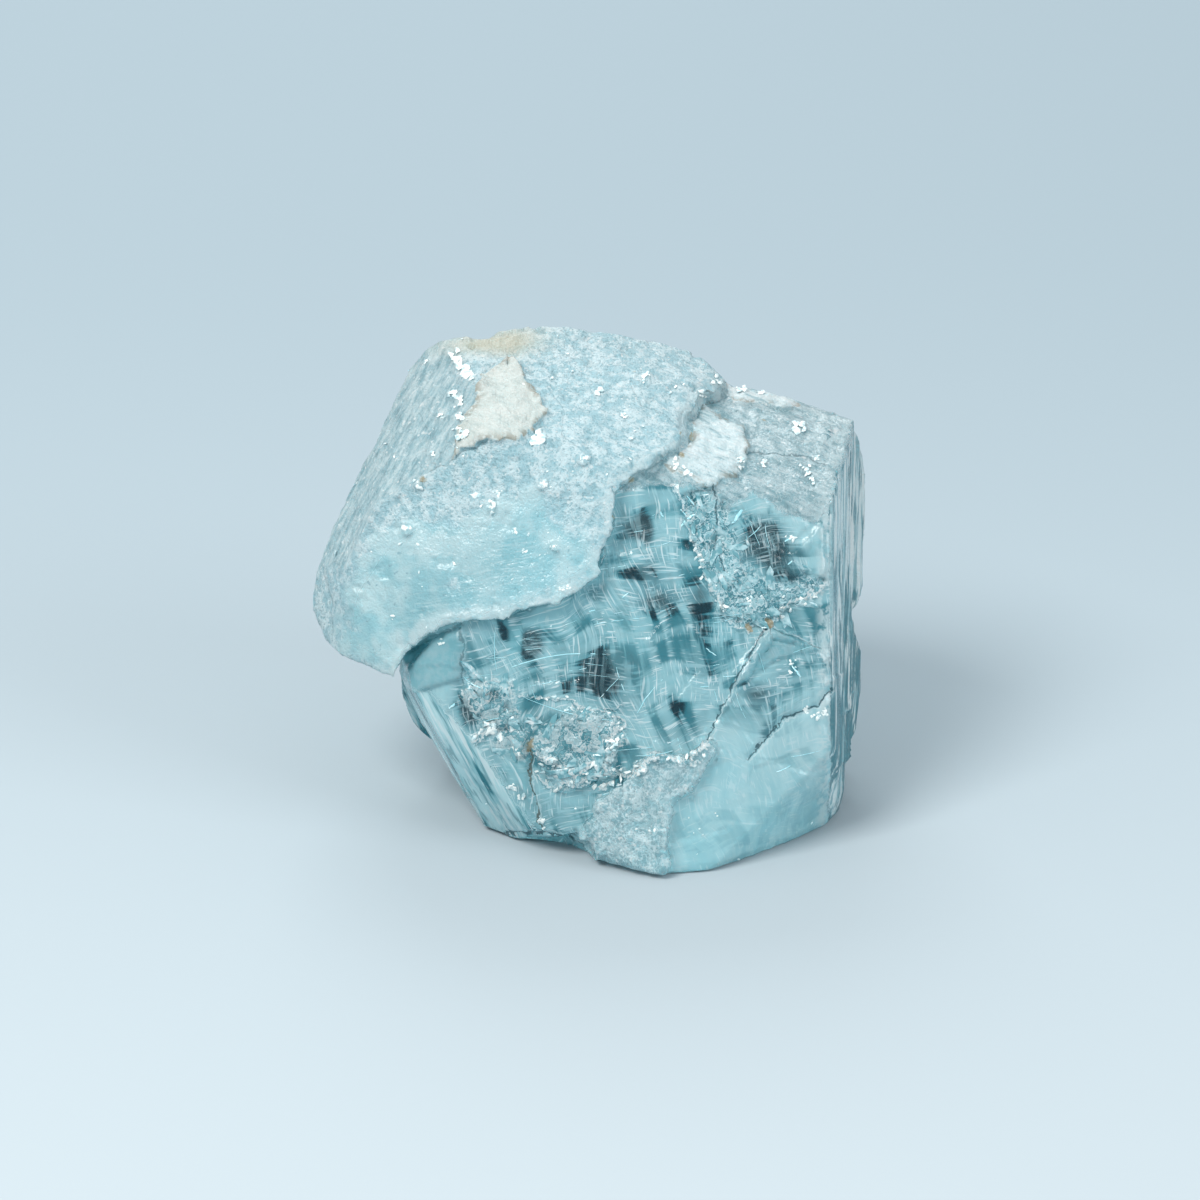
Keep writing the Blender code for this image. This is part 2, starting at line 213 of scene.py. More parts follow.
def eased(values: Points, low: float, high: float) -> Points:
    """Goes smoothly from 0 at low to 1 at high."""
    t = np.clip((values - low) / (high - low), 0, 1)
    return t * t * (3 - 2 * t)


@dataclass(frozen=True)
class Outline:
    """A closed outline of (across, rise) corners on the stone's front."""

    corners: Line

    def depth(self, drawn: Points) -> Points:
        """How far each point lies inside the outline, in millimetres, and less than 0 outside.

        The distance is the least over all edges, and its sign comes from how often a line to the left
        crosses them.

        Args:
            drawn: (N, 3) drawing points.

        Returns:
            N signed distances.
        """
        start = np.array(self.corners)
        end = np.roll(start, -1, axis=0)
        x, y = drawn[:, 0, None], drawn[:, 1, None]
        edge = end - start
        t = ((x - start[:, 0]) * edge[:, 0] + (y - start[:, 1]) * edge[:, 1]) / np.sum(edge**2, axis=1)
        t = np.clip(t, 0, 1)
        away = np.hypot(x - start[:, 0] - t * edge[:, 0], y - start[:, 1] - t * edge[:, 1]).min(axis=1)
        spans = (start[:, 1] > y) != (end[:, 1] > y)
        flat = np.where(edge[:, 1] == 0, 1e-9, edge[:, 1])
        crossing = x < edge[:, 0] * (y - start[:, 1]) / flat + start[:, 0]
        inside = np.sum(spans & crossing, axis=1) % 2 == 1
        return np.where(inside, away, -away)

    def share(self, drawn: Points, soft: float = 0.15) -> Points:
        """1 inside the outline and 0 outside, going over within soft millimetres of its edge."""
        return eased(self.depth(drawn), -soft, soft)


@dataclass(frozen=True)
class Crack:
    """An open line of (across, rise) points, with its half width and how brown it is."""

    points: Line
    half_width: float = 0.05
    brown: float = 0.0
    strength: float = 1.0

    def side_and_nearness(self, drawn: Points) -> tuple[Points, Points, Points]:
        """Where each point lies beside the crack, as looked at from the front.

        Args:
            drawn: (N, 3) drawing points.

        Returns:
            The signed distance to the left of the crack, how much the point counts as beside the crack and
            not past its ends (0 to 1), and the plain distance, in millimetres.
        """
        start = np.array(self.points[:-1])
        edge = np.diff(np.array(self.points), axis=0)
        gap_x, gap_y = drawn[:, 0, None] - start[:, 0], drawn[:, 1, None] - start[:, 1]
        square = np.sum(edge**2, axis=1)
        raw = (gap_x * edge[:, 0] + gap_y * edge[:, 1]) / square
        t = np.clip(raw, 0, 1)
        away = np.hypot(gap_x - t * edge[:, 0], gap_y - t * edge[:, 1])
        nearest = np.argmin(away, axis=1)
        row = np.arange(len(drawn))
        turn = (edge[:, 0] * gap_y - edge[:, 1] * gap_x)[row, nearest]
        before = np.where(nearest == 0, -raw[:, 0] * math.sqrt(square[0]), -1.0)
        after = np.where(nearest == len(edge) - 1, (raw[:, -1] - 1) * math.sqrt(square[-1]), -1.0)
        distance = away[row, nearest]
        beside = eased(distance, 0.5, 0.3) * eased(np.maximum(before, after), 0.15, -0.05)
        return np.sign(turn) * distance, beside, distance


def spot(drawn: Points, across: float, rise: float, wide: float, high: float, lean: float = 0.0) -> Points:
    """A soft oval spot: 1 in its middle, falling off as a bell curve over wide and high millimetres.

    Args:
        drawn: (N, 3) drawing points.
        across: the middle's place to the right.
        rise: the middle's place upwards.
        wide: the half width.
        high: the half height.
        lean: degrees that the oval's height leans to the left.

    Returns:
        N shares.
    """
    turn = math.radians(lean)
    x, y = drawn[:, 0] - across, drawn[:, 1] - rise
    along, beside = y * math.cos(turn) - x * math.sin(turn), x * math.cos(turn) + y * math.sin(turn)
    return np.exp(-((beside / wide) ** 2) - (along / high) ** 2)


@dataclass(frozen=True)
class Surfaces:
    """Where each kind of surface lies on the stone, as outlines seen from the front."""

    cap: Outline = Outline((
        (-9.3, -4.4), (-8.95, -3.15), (-8.6, -2.5), (-8.3, -2.1), (-7.3, -1.6), (-5.9, -1.2), (-4.8, -0.9),
        (-4.1, -0.9), (-2.9, -0.4), (-1.8, -0.2), (-0.8, 0.3), (0.0, 0.9), (0.4, 1.5), (0.7, 2.5), (1.0, 3.6),
        (0.9, 4.4), (1.2, 5.0), (1.9, 5.5), (3.0, 6.2), (3.6, 6.4), (4.4, 7.4), (4.5, 8.2), (5.0, 9.2),
        (6.2, 9.9), (6.5, 10.6), (6.5, 15.0), (-15.0, 15.0), (-15.0, -5.0),
    ))
    cap_smooth: Outline = Outline((
        (-11.2, 0.6), (-9.8, 2.6), (-8.0, 3.9), (-6.0, 3.4), (-4.4, 4.5), (-2.2, 4.7), (-0.8, 3.2), (0.6, 2.6),
        (0.3, 1.0), (-3.4, -0.9), (-6.2, -1.6), (-9.0, -3.4), (-11.8, -2.4),
    ))
    cap_flank: Outline = Outline((
        (-4.6, 7.4), (-6.3, 6.5), (-9.8, 4.3), (-11.3, 1.4), (-12.9, 1.5), (-15.0, 4.0), (-9.6, 13.5),
        (-6.2, 11.9), (-5.2, 9.4),
    ))
    upper_flake: Outline = Outline((
        (-4.0, 11.2), (-3.5, 11.2), (-2.9, 10.1), (-2.3, 9.4), (-2.0, 8.8), (-2.2, 8.3), (-3.1, 7.3),
        (-3.9, 7.3), (-4.5, 7.4), (-5.9, 6.8), (-6.2, 6.5), (-6.0, 7.7), (-5.6, 8.3), (-5.2, 9.0),
        (-5.1, 10.4), (-4.5, 10.8),
    ))
    right_flake: Outline = Outline((
        (5.25, 9.1), (5.5, 9.2), (6.0, 8.6), (6.7, 8.4), (7.3, 8.0), (7.1, 7.7), (7.3, 6.7), (7.2, 6.3),
        (6.6, 5.9), (5.9, 5.5), (5.4, 5.1), (4.5, 5.6), (3.4, 6.05), (3.9, 6.35), (4.65, 7.25), (4.8, 8.3),
    ))
    top_ridge: Outline = Outline((
        (6.2, 9.9), (6.8, 10.6), (9.2, 10.3), (9.8, 9.1), (9.1, 8.95), (8.1, 9.2), (6.7, 9.3),
    ))
    top_face: Outline = Outline((
        (1.0, 5.5), (1.6, 4.9), (2.9, 5.3), (5.2, 5.1), (5.5, 4.0), (6.4, 4.0), (7.4, 4.9), (9.0, 3.9),
        (10.4, 3.4), (11.0, 4.6), (12.4, 8.4), (11.5, 9.8), (6.4, 11.2), (4.6, 8.6),
    ))
    lower_plate: Outline = Outline((
        (-0.6, -11.0), (-0.3, -10.2), (0.4, -9.2), (1.9, -8.0), (2.3, -7.7), (2.9, -7.2), (3.4, -7.4),
        (4.1, -7.2), (4.5, -7.5), (5.3, -6.7), (5.7, -7.0), (5.1, -7.7), (4.7, -8.5), (3.8, -9.1), (3.6, -10.0),
        (3.4, -11.4), (3.6, -13.5), (1.2, -13.5), (0.2, -12.0),
    ))
    crinkled: Outline = Outline((
        (-2.5, -5.9), (-2.6, -6.8), (-2.2, -7.7), (-1.2, -8.8), (0.0, -8.5), (1.0, -8.1), (1.6, -6.5),
        (0.9, -5.3), (-0.8, -5.1),
    ))
    scaly: Outline = Outline((
        (4.1, 4.8), (4.6, 3.0), (5.0, 1.8), (6.0, -0.9), (7.3, -1.3), (8.2, -1.1), (9.9, 0.0), (10.9, 0.9),
        (10.0, 1.2), (8.9, 0.8), (7.9, 1.0), (7.1, 2.2), (6.4, 3.6), (5.9, 4.9), (5.0, 5.0),
    ))
    ridges: tuple[Crack, ...] = (
        Crack((
            (-2.41, -6.90), (-2.06, -7.15), (-1.56, -7.37), (-1.20, -7.72), (-0.86, -7.93), (-0.52, -8.0),
            (-0.19, -7.84), (0.17, -7.41), (0.59, -7.15), (1.02, -6.81), (1.11, -6.30), (1.54, -5.87),
        ), 0.13),
        Crack((
            (-2.67, -7.93), (-2.32, -8.10), (-1.98, -8.44), (-1.46, -8.70), (-1.04, -8.44), (-0.35, -8.44),
            (0.17, -8.44), (0.59, -7.93), (1.02, -7.41),
        ), 0.08, strength=0.8),
        Crack((
            (-3.27, -4.32), (-2.75, -4.45), (-1.89, -4.49), (-0.86, -4.58), (0.0, -5.01), (0.85, -5.26),
            (1.54, -5.69),
        ), 0.06, strength=0.8),
        Crack(((-0.86, -4.92), (-0.42, -5.05), (0.51, -5.01), (1.54, -4.84)), 0.05, strength=0.7),
        Crack(((-5.43, -6.47), (-4.98, -6.21), (-4.64, -5.87), (-4.45, -5.50)), 0.16, strength=0.9),
        Crack((
            (0.4, -8.7), (1.02, -7.95), (1.54, -8.0), (2.31, -7.7), (2.9, -7.25), (3.4, -7.45), (4.1, -7.2),
            (4.6, -7.45), (5.3, -6.75),
        ), 0.13, strength=0.9),
        Crack((
            (3.78, 5.3), (4.11, 4.65), (4.37, 3.96), (4.63, 3.02), (4.96, 1.98), (5.23, 1.13), (5.74, 0.27),
            (6.09, -0.5), (6.51, -1.11), (7.36, -1.44),
        ), 0.09, strength=0.7),
        Crack(((10.81, 0.75), (10.13, 0.12), (9.27, -0.15), (8.75, -0.5), (8.24, -1.08)), 0.09, strength=0.9),
    )  # raised lines of crushed white stone
    shattered: Outline = Outline((
        (-5.5, -3.6), (-3.6, -3.7), (-3.2, -5.4), (-2.4, -6.6), (-3.0, -7.4), (-4.4, -6.6), (-5.4, -5.4),
        (-5.9, -4.4),
    ))
    left_bevel: Outline = Outline((
        (-9.0, -4.0), (-7.3, -4.1), (-6.4, -5.3), (-5.5, -6.2), (-3.4, -9.2), (-2.4, -10.6), (-3.2, -12.4),
        (-7.0, -12.4),
    ))
    pale_patch: Outline = Outline((
        (-8.6, -2.6), (-7.1, -1.7), (-5.6, -1.2), (-5.8, -3.6), (-7.3, -4.0), (-8.1, -4.3),
    ))
    wedge: Outline = Outline((
        (8.15, -1.25), (7.7, -1.8), (7.0, -3.0), (6.5, -4.0), (7.6, -3.4), (8.6, -2.7), (9.6, -2.6), (10.4, -2.3),
        (9.4, -1.75),
    ))
    worn_lip: Outline = Outline((
        (2.4, 5.4), (2.6, 6.5), (3.4, 7.0), (3.9, 8.0), (4.3, 9.4), (5.6, 10.5), (6.2, 12.0), (7.6, 12.0),
        (7.3, 10.0), (6.4, 9.2), (5.6, 8.4), (5.4, 7.0), (4.4, 5.8), (3.2, 5.2),
    ))  # where the etched mass goes over into its surroundings without a step
    ledges: tuple[tuple[str, float, float], ...] = (
        ("wedge", 0.20, 0.08), ("pale_patch", 0.12, 0.08), ("calm", 0.10, 0.08), ("leaning_band", 0.06, 0.08),
        ("column", 0.10, 0.08), ("crinkled", 0.14, 0.08), ("upper_flake", 0.10, 0.08), ("right_flake", 0.10, 0.08),
        ("scaly", -0.08, 0.08), ("shattered", 0.06, 0.08),
    )  # outlines, how far each stands out and how softly it ends, in millimetres
    column: Outline = Outline((
        (-3.8, -3.7), (-3.3, -3.6), (-3.05, -5.2), (-2.95, -7.4), (-2.6, -9.6), (-3.3, -8.4), (-3.7, -5.6),
    ))
    upper_column: Outline = Outline(((-3.7, -0.9), (-3.1, -1.1), (-3.2, -2.9), (-3.7, -3.0)))
    leaning_band: Outline = Outline(((0.5, 0.9), (1.2, 0.9), (3.5, -4.4), (1.6, -4.4), (0.8, -2.6)))
    right_edge: float = 10.95  # past this the prism's striated right side is seen
    cracks: tuple[Crack, ...] = (
        Crack(((8.17, -1.2), (7.74, -1.72), (7.03, -3.04), (6.28, -4.37), (5.71, -5.55), (5.14, -6.82)), 0.045),
        Crack(((11.04, -4.08), (10.48, -4.84), (8.73, -5.55), (7.88, -6.54), (7.17, -7.29)), 0.055),
        Crack(((7.2, -1.35), (8.12, -1.16), (9.39, -1.77), (10.57, -2.24)), 0.035, 0.5, 0.6),
        Crack(((5.43, 5.22), (5.7, 4.6), (5.85, 3.89), (5.8, 2.6), (6.2, 1.2)), 0.035),
        Crack(((7.27, 6.73), (8.6, 6.75), (9.86, 6.65), (10.9, 6.25)), 0.045, 0.0, 0.7),
        Crack(((-5.85, -1.3), (-5.88, -3.9)), 0.035, 0.0, 0.5),
        Crack(((-2.78, -6.7), (-2.78, -8.4), (-2.5, -9.4), (-2.2, -10.5)), 0.045, 0.8),
        Crack(((-4.0, -10.85), (-2.2, -10.75), (-0.75, -10.95)), 0.06),
        Crack(((-4.63, 7.34), (-5.24, 6.9), (-6.3, 6.5), (-7.4, 5.9)), 0.03, 0.3, 0.45),
        Crack(((-12.4, 1.4), (-12.0, -0.2), (-11.9, -1.7)), 0.04, 0.0, 0.3),
        Crack(((-1.9, 9.6), (-1.2, 8.7), (-1.3, 7.6), (-0.5, 6.9)), 0.025, 0.0, 0.35),
        Crack(((1.9, 9.9), (2.4, 9.0), (3.3, 8.7), (4.1, 8.0)), 0.025, 0.0, 0.35),
        Crack(((-7.9, 8.6), (-7.4, 7.6), (-7.6, 6.6)), 0.025, 0.0, 0.3),
    )
    rust_spots: tuple[tuple[float, float, float], ...] = (
        (-2.74, -6.7, 0.33), (7.27, -1.3, 0.16), (8.2, -1.1, 0.18), (4.5, 7.6, 0.10), (4.4, 7.2, 0.08),
        (8.1, 8.3, 0.09), (7.9, 7.0, 0.09), (1.95, 5.5, 0.08), (0.95, 3.7, 0.08), (4.2, 6.4, 0.10),
        (-7.7, 5.5, 0.12), (2.0, 10.6, 0.05),
    )
    calm: Outline = Outline((
        (2.3, -7.7), (2.9, -6.4), (4.6, -6.9), (5.6, -5.6), (6.6, -5.0), (8.4, -5.2), (10.9, -3.6), (11.6, -3.4),
        (11.6, -14.0), (3.4, -14.0),
    ))
    calm_left: Outline = Outline(((-9.0, -2.2), (-6.3, -1.6), (-6.2, -3.6), (-6.6, -5.2), (-8.4, -4.6)))
    calm_right: Outline = Outline((
        (6.4, 4.4), (7.6, 4.9), (9.6, 4.3), (10.9, 3.2), (10.9, 0.9), (9.6, 0.9), (8.9, 1.6), (9.1, 2.8),
        (8.6, 3.8), (7.2, 4.0),
    ))
    pockets: tuple[tuple[float, float, float, float, float, float], ...] = (
        (0.75, -3.4, 1.4, 1.2, 10.0, 1.5), (-2.75, -2.05, 0.75, 0.85, 0.0, 1.5), (-4.1, -1.7, 0.5, 0.9, 0.0, 0.65),
        (1.9, 3.2, 0.85, 0.75, 12.0, 1.0), (2.55, 3.3, 0.4, 0.9, 12.0, 1.0), (8.0, 2.8, 1.05, 1.1, 15.0, 1.4),
        (8.9, 1.5, 1.1, 0.9, 0.0, 0.95), (2.5, 1.3, 1.3, 0.75, 14.0, 0.9), (3.1, -0.1, 1.3, 0.8, 14.0, 1.0),
        (0.3, 0.2, 1.0, 0.6, 0.0, 0.8), (5.1, 0.2, 0.7, 0.9, 0.0, 0.8), (5.1, -1.6, 0.7, 0.9, 14.0, 0.6),
        (-5.6, -5.2, 0.55, 0.95, 25.0, 1.2), (-4.4, -4.4, 0.6, 0.7, 0.0, 0.7), (7.7, -4.3, 1.1, 0.75, 0.0, 0.95),
        (5.2, -3.3, 0.7, 0.6, 0.0, 0.6), (3.8, -4.7, 0.6, 0.6, 0.0, 0.7), (4.2, -6.2, 0.6, 1.1, 14.0, 0.5),
        (-1.3, -4.2, 1.0, 0.6, 0.0, 0.5), (8.1, -6.0, 0.4, 1.0, -30.0, 0.55), (6.4, -1.9, 0.6, 0.5, 0.0, 0.4),
        (-4.0, 1.7, 1.6, 1.2, 0.0, 0.9), (-7.1, -0.8, 1.5, 0.9, -20.0, 0.8), (-5.6, 0.6, 0.9, 0.6, 0.0, 0.5),
        (-5.2, -9.0, 0.25, 1.3, 28.0, 0.7), (-6.2, -7.4, 0.3, 1.2, 28.0, 0.5), (4.5, 2.9, 0.6, 1.0, 10.0, 0.5),
        (6.9, 2.0, 0.5, 0.9, 10.0, 0.5), (-1.2, -1.3, 1.1, 0.4, 8.0, 0.4), (9.7, -3.5, 0.5, 0.5, 0.0, 0.45),
        (-3.9, -8.2, 0.3, 0.8, 10.0, 0.6), (-0.6, -10.1, 0.8, 0.5, 0.0, 0.5), (1.2, -5.1, 0.7, 0.5, 14.0, 0.45),
    )  # across, rise, half width, half height, lean and strength of each dark gap


SURFACES = Surfaces()


class Field(Enum):
    """What each vertex of the skin carries for its finish: depths inside outlines in millimetres, or shares."""

    CAP = "cap_depth"
    FLAKE = "flake_depth"
    PLATE = "plate_depth"
    CRINKLE = "crinkle_depth"
    SCALY = "scaly_depth"
    TOP = "top_face_depth"
    BEVEL = "bevel_depth"
    SIDE = "side_depth"
    PALE = "pale_depth"
    RUST = "rust_depth"
    CRACK = "crack_side"
    CRACK_NEAR = "crack_near"
    BROWN = "crack_brown"
    RIDGE = "ridge_side"
    RIDGE_NEAR = "ridge_near"
    FRONT = "front_share"
    SMOOTH = "smooth_share"
    FLANK = "flank_share"
    POCKET = "pocket_share"
    COLUMN = "column_share"
    STAIN = "stain_share"
    CALM = "calm_share"
    BACK = "back_share"


@dataclass
class Skin:
    """The stone's whole outside: the solid's faces with their fine relief and what the finish reads."""

    voxel_mm: float = 0.138
    smooth_rounds: int = 3
    wearing_rounds: int = 45
    most_triangles: int = 194000
    name: str = "crystal_skin"
    drawn: Points = field(default_factory=lambda: np.zeros((0, 3)))

    def remeshed(self) -> bpy.types.Object:
        """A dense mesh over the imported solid: a merged copy, remeshed evenly, then thinned out at the back."""
        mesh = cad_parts[NODE].data.copy()
        work = bmesh.new()
        work.from_mesh(mesh)
        bmesh.ops.remove_doubles(work, verts=work.verts, dist=0.001 * MM)
        bmesh.ops.recalc_face_normals(work, faces=work.faces)
        work.to_mesh(mesh)
        work.free()
        mesh.materials.clear()
        rough = bpy.data.objects.new(self.name, mesh)
        bpy.context.scene.collection.objects.link(rough)
        remesh = rough.modifiers.new("Even", "REMESH")
        remesh.mode = "VOXEL"
        remesh.voxel_size = self.voxel_mm * MM
        rough.data = self.evaluated(rough)
        places, _ = self.read(rough.data)
        near = STONE.to_drawing(places)[:, 2]
        spare = rough.vertex_groups.new(name="spare")
        spare.add(np.flatnonzero(near < -3.0).tolist(), 1.0, "REPLACE")
        thin = rough.modifiers.new("Thin", "DECIMATE")
        thin.vertex_group = spare.name
        thin.ratio = min(1.0, self.most_triangles / (2 * len(rough.data.polygons)))
        rough.data = self.evaluated(rough)
        rough.vertex_groups.clear()
        return rough

    def evaluated(self, rough: bpy.types.Object) -> bpy.types.Mesh:
        """The object's mesh with its modifiers applied, which are then taken off."""
        graph = bpy.context.evaluated_depsgraph_get()
        mesh = bpy.data.meshes.new_from_object(rough.evaluated_get(graph))
        rough.modifiers.clear()
        return mesh

    def read(self, mesh: bpy.types.Mesh) -> tuple[Points, Points]:
        """The mesh's vertex places and normals as (N, 3) arrays."""
        count = len(mesh.vertices)
        places = np.zeros(count * 3, np.float32)
        normals = np.zeros(count * 3, np.float32)
        mesh.vertices.foreach_get("co", places)
        mesh.vertex_normals.foreach_get("vector", normals)
        return places.reshape(-1, 3).astype(float), normals.reshape(-1, 3).astype(float)

    def softened(self, mesh: bpy.types.Mesh, places: Points, keep: Points, rounds: int) -> Points:
        """Moves each vertex towards the mean of its neighbours, less where keep is near 1.

        Args:
            mesh: the mesh, for its edges.
            places: (N, 3) vertex places.
            keep: N shares, 1 where a vertex stays.
            rounds: how many times it is done.

        Returns:
            The softened places.
        """
        edges = np.zeros(len(mesh.edges) * 2, np.int32)
        mesh.edges.foreach_get("vertices", edges)
        first, second = edges.reshape(-1, 2).T
        count = np.bincount(first, minlength=len(places)) + np.bincount(second, minlength=len(places))
        for _ in range(rounds):
            total = np.zeros_like(places)
            for axis in range(3):
                total[:, axis] += np.bincount(first, places[second, axis], len(places))
                total[:, axis] += np.bincount(second, places[first, axis], len(places))
            mean = total / count[:, None]
            places = places + (mean - places) * (0.6 * (1 - keep))[:, None]
        return places

    def regions(self, drawn: Points, facing: Points) -> dict[str, Points]:
        """How much each vertex belongs to each surface kind.

        Args:
            drawn: (N, 3) drawing points.
            facing: (N, 3) outward directions in the drawing.

        Returns:
            Shares from 0 to 1 by the surface's name.
        """
        across, rise, near = drawn.T
        front = eased(near, -4.2, -3.0) * eased(facing[:, 2], -0.3, 0.1)
        behind_cap = eased(rise - 0.55 * across, 4.4, 5.4)
        cap = SURFACES.cap.share(drawn, 0.12) * front + behind_cap * (1 - front)
        side = eased(across, 10.9, 11.2) * eased(facing[:, 0], 0.3, 0.7) * (1 - cap)
        found = {"front": front, "cap": cap, "side": side, "back": (1 - front) * (1 - cap) * (1 - side)}
        for name in ("upper_flake", "right_flake", "top_ridge", "lower_plate", "crinkled", "scaly", "shattered"):
            found[name] = getattr(SURFACES, name).share(drawn, 0.1) * front
        found["smooth"] = SURFACES.cap_smooth.share(drawn, 1.2) * front * cap
        found["flank"] = SURFACES.cap_flank.share(drawn, 0.3) * front * cap
        found["top_face"] = SURFACES.top_face.share(drawn, 0.15) * front * (1 - cap)
        found["bevel"] = SURFACES.left_bevel.share(drawn, 0.15) * front * (1 - cap)
        taken = found["top_face"] + found["bevel"] + found["side"] + found["lower_plate"]
        found["window"] = front * (1 - cap) * np.clip(1 - taken, 0, 1)
        return found

    def lines(self, drawn: Points, listed: tuple[Crack, ...]) -> tuple[Points, Points, Points]:
        """For each vertex its side of the nearest line in half widths, its nearness, and how brown that is."""
        side = np.full(len(drawn), 9.0)
        near = np.zeros(len(drawn))
        brown = np.zeros(len(drawn))
        least = np.full(len(drawn), 99.0)
        for crack in listed:
            this_side, beside, distance = crack.side_and_nearness(drawn)
            closer = distance < least
            side = np.where(closer, this_side / crack.half_width, side)
            near = np.where(closer, beside * crack.strength, near)
            brown = np.where(closer, crack.brown, brown)
            least = np.minimum(least, distance)
        return side, near, brown

    def relief(self, drawn: Points, region: dict[str, Points]) -> Points:
        """How far each vertex is pushed out along its normal, in millimetres.

        Each surface kind adds its own noise: lumps and pits on the etched mass, streaks on its flank, long
        ridges on the prism sides, tilted shards where the front is scaly or crinkled, low waves in the
        glassy front, and a groove along each crack.
        """
        slanted = np.stack(
            [drawn[:, 0] * 0.88 - drawn[:, 1] * 0.47, drawn[:, 1] * 0.88 + drawn[:, 0] * 0.47, drawn[:, 2]], -1
        )
        leaning = np.stack(
            [drawn[:, 0] * 0.88 + drawn[:, 1] * 0.47, drawn[:, 1] * 0.88 - drawn[:, 0] * 0.47, drawn[:, 2]], -1
        )
        lumps = Lattice(11).layered(drawn, 2.2, 3) * 0.12 + Lattice(12).layered(drawn, 0.7, 3, 0.6) * 0.09
        pits = -eased(Lattice(13).layered(drawn, 0.55, 2), 0.42, 0.7) * 0.16
        streaks = Lattice(14).layered(slanted * [1.6, 0.3, 1.0], 0.75, 3, 0.6) * 0.17
        ridges = Lattice(15).layered(drawn * [1.0, 0.06, 1.0], 0.5, 3, 0.6) * 0.16
        fibres = Lattice(16).layered(drawn * [2.2, 0.35, 1.0], 0.8, 3, 0.6) * 0.09
        grain = Lattice(17).layered(drawn, 0.5, 2, 0.7) * 0.10
        shard, border = Lattice(18).shards(drawn * [1.0, 0.8, 1.0], 0.62)
        chips = shard * 0.16 - np.exp(-border / 0.10) * 0.06
        big_shard, big_border = Lattice(19).shards(drawn * [0.55, 1.0, 0.6], 1.9)
        flats = big_shard * 0.12 - np.exp(-big_border / 0.05) * 0.03
        waves = Lattice(20).layered(drawn * [1.0, 0.5, 1.0], 1.8, 3) * 0.05
        height = (lumps + pits) * region["cap"] * (1 - 0.5 * region["smooth"])
        height = height * (1 - region["flank"]) + (streaks + pits * 0.5) * region["flank"]
        height += region["window"] * (flats * 0.6 + waves)
        height += (region["scaly"] + region["crinkled"]) * chips * 0.9 + region["shattered"] * chips * 1.4
        height += region["lower_plate"] * (grain + lumps * 0.5) + region["top_face"] * (grain * 0.8 + lumps * 0.7)
        height += (region["right_flake"] + region["top_ridge"]) * fibres + region["upper_flake"] * grain * 0.7
        height += (region["side"] + region["back"]) * ridges + region["back"] * flats
        height += region["bevel"] * Lattice(21).layered(leaning * [1.6, 0.14, 1.0], 0.8, 3, 0.6) * 0.14
        for name, step, soft in SURFACES.ledges:
            height += getattr(SURFACES, name).share(drawn, soft) * region["front"] * step * (1 - region["cap"])
        height += SURFACES.upper_flake.share(drawn, 0.08) * region["front"] * region["cap"] * 0.10
        side, near, _ = self.lines(drawn, SURFACES.cracks)
        height -= np.exp(-((side / 2.2) ** 2)) * near * 0.14 * region["front"]
        side, near, _ = self.lines(drawn, SURFACES.ridges)
        return height + np.exp(-((side / 1.5) ** 2)) * near * (0.10 + chips) * region["front"]

    def jags(self, drawn: Points, region: dict[str, Points]) -> Points:
        """How far each vertex is shifted across and upwards, so that broken edges run unevenly.

        The shift is noise of two sizes, strongest at the outlines of the etched mass, the flakes and the
        plate, and gone 0.9 mm from them.

        Args:
            drawn: (N, 3) drawing points.
            region: the shares of the surface kinds.

        Returns:
            (N, 3) shifts in the row frame, in metres.
        """
        edges = (SURFACES.cap, SURFACES.lower_plate, SURFACES.upper_flake, SURFACES.right_flake, SURFACES.crinkled)
        nearest = np.min([np.abs(edge.depth(drawn)) for edge in edges], axis=0)
        reach = eased(nearest, 0.9, 0.2) * region["front"]
        shift = np.zeros_like(drawn)
        for axis in range(2):
            coarse = Lattice(31 + axis).layered(drawn, 1.1, 2) * 0.30
            shift[:, axis] = (coarse + Lattice(33 + axis).layered(drawn, 0.42, 2) * 0.14) * reach
        return STONE.to_row(shift) - STONE.to_row(np.zeros(3))

    def fields(self, drawn: Points, facing: Points, region: dict[str, Points]) -> dict[Field, Points]:
        """What the finish reads at each vertex, worked out from the outlines, cracks and spots."""
        front = region["front"]

        def inside(outline: Outline) -> Points:
            """The depth inside an outline on the front, and OUTSIDE elsewhere."""
            return np.clip(outline.depth(drawn), OUTSIDE, -OUTSIDE) * front + OUTSIDE * (1 - front)

        across, rise, _ = drawn.T
        rust = np.full(len(drawn), OUTSIDE)
        for place_across, place_rise, radius in SURFACES.rust_spots:
            rust = np.maximum(rust, radius - np.hypot(across - place_across, rise - place_rise))
        pocket = np.zeros(len(drawn))
        for place_across, place_rise, wide, high, lean, strength in SURFACES.pockets:
            pocket += strength * spot(drawn, place_across, place_rise, wide, high, lean)
        column = np.maximum(SURFACES.column.share(drawn, 0.15), 0.8 * SURFACES.upper_column.share(drawn, 0.12))
        column = np.maximum(column, 0.4 * SURFACES.leaning_band.share(drawn, 0.3))
        calm = np.maximum(SURFACES.calm.share(drawn, 0.8), SURFACES.calm_left.share(drawn, 0.5))
        calm = np.maximum(calm, 0.8 * SURFACES.calm_right.share(drawn, 0.4))
        side, near, brown = self.lines(drawn, SURFACES.cracks)
        ridge_side, ridge_near, _ = self.lines(drawn, SURFACES.ridges)
        behind = np.clip(rise - 0.55 * across - 4.9, OUTSIDE, -OUTSIDE)
        cap = np.clip(SURFACES.cap.depth(drawn), OUTSIDE, -OUTSIDE) * front + behind * (1 - front)
        sideways = np.minimum(across - SURFACES.right_edge, (0.62 - facing[:, 1]) * 2.0)
        flake = np.maximum(inside(SURFACES.upper_flake), inside(SURFACES.right_flake))
        stain = spot(drawn, -4.9, 11.9, 1.9, 0.55) + 0.6 * spot(drawn, -3.4, 12.3, 1.2, 0.6)
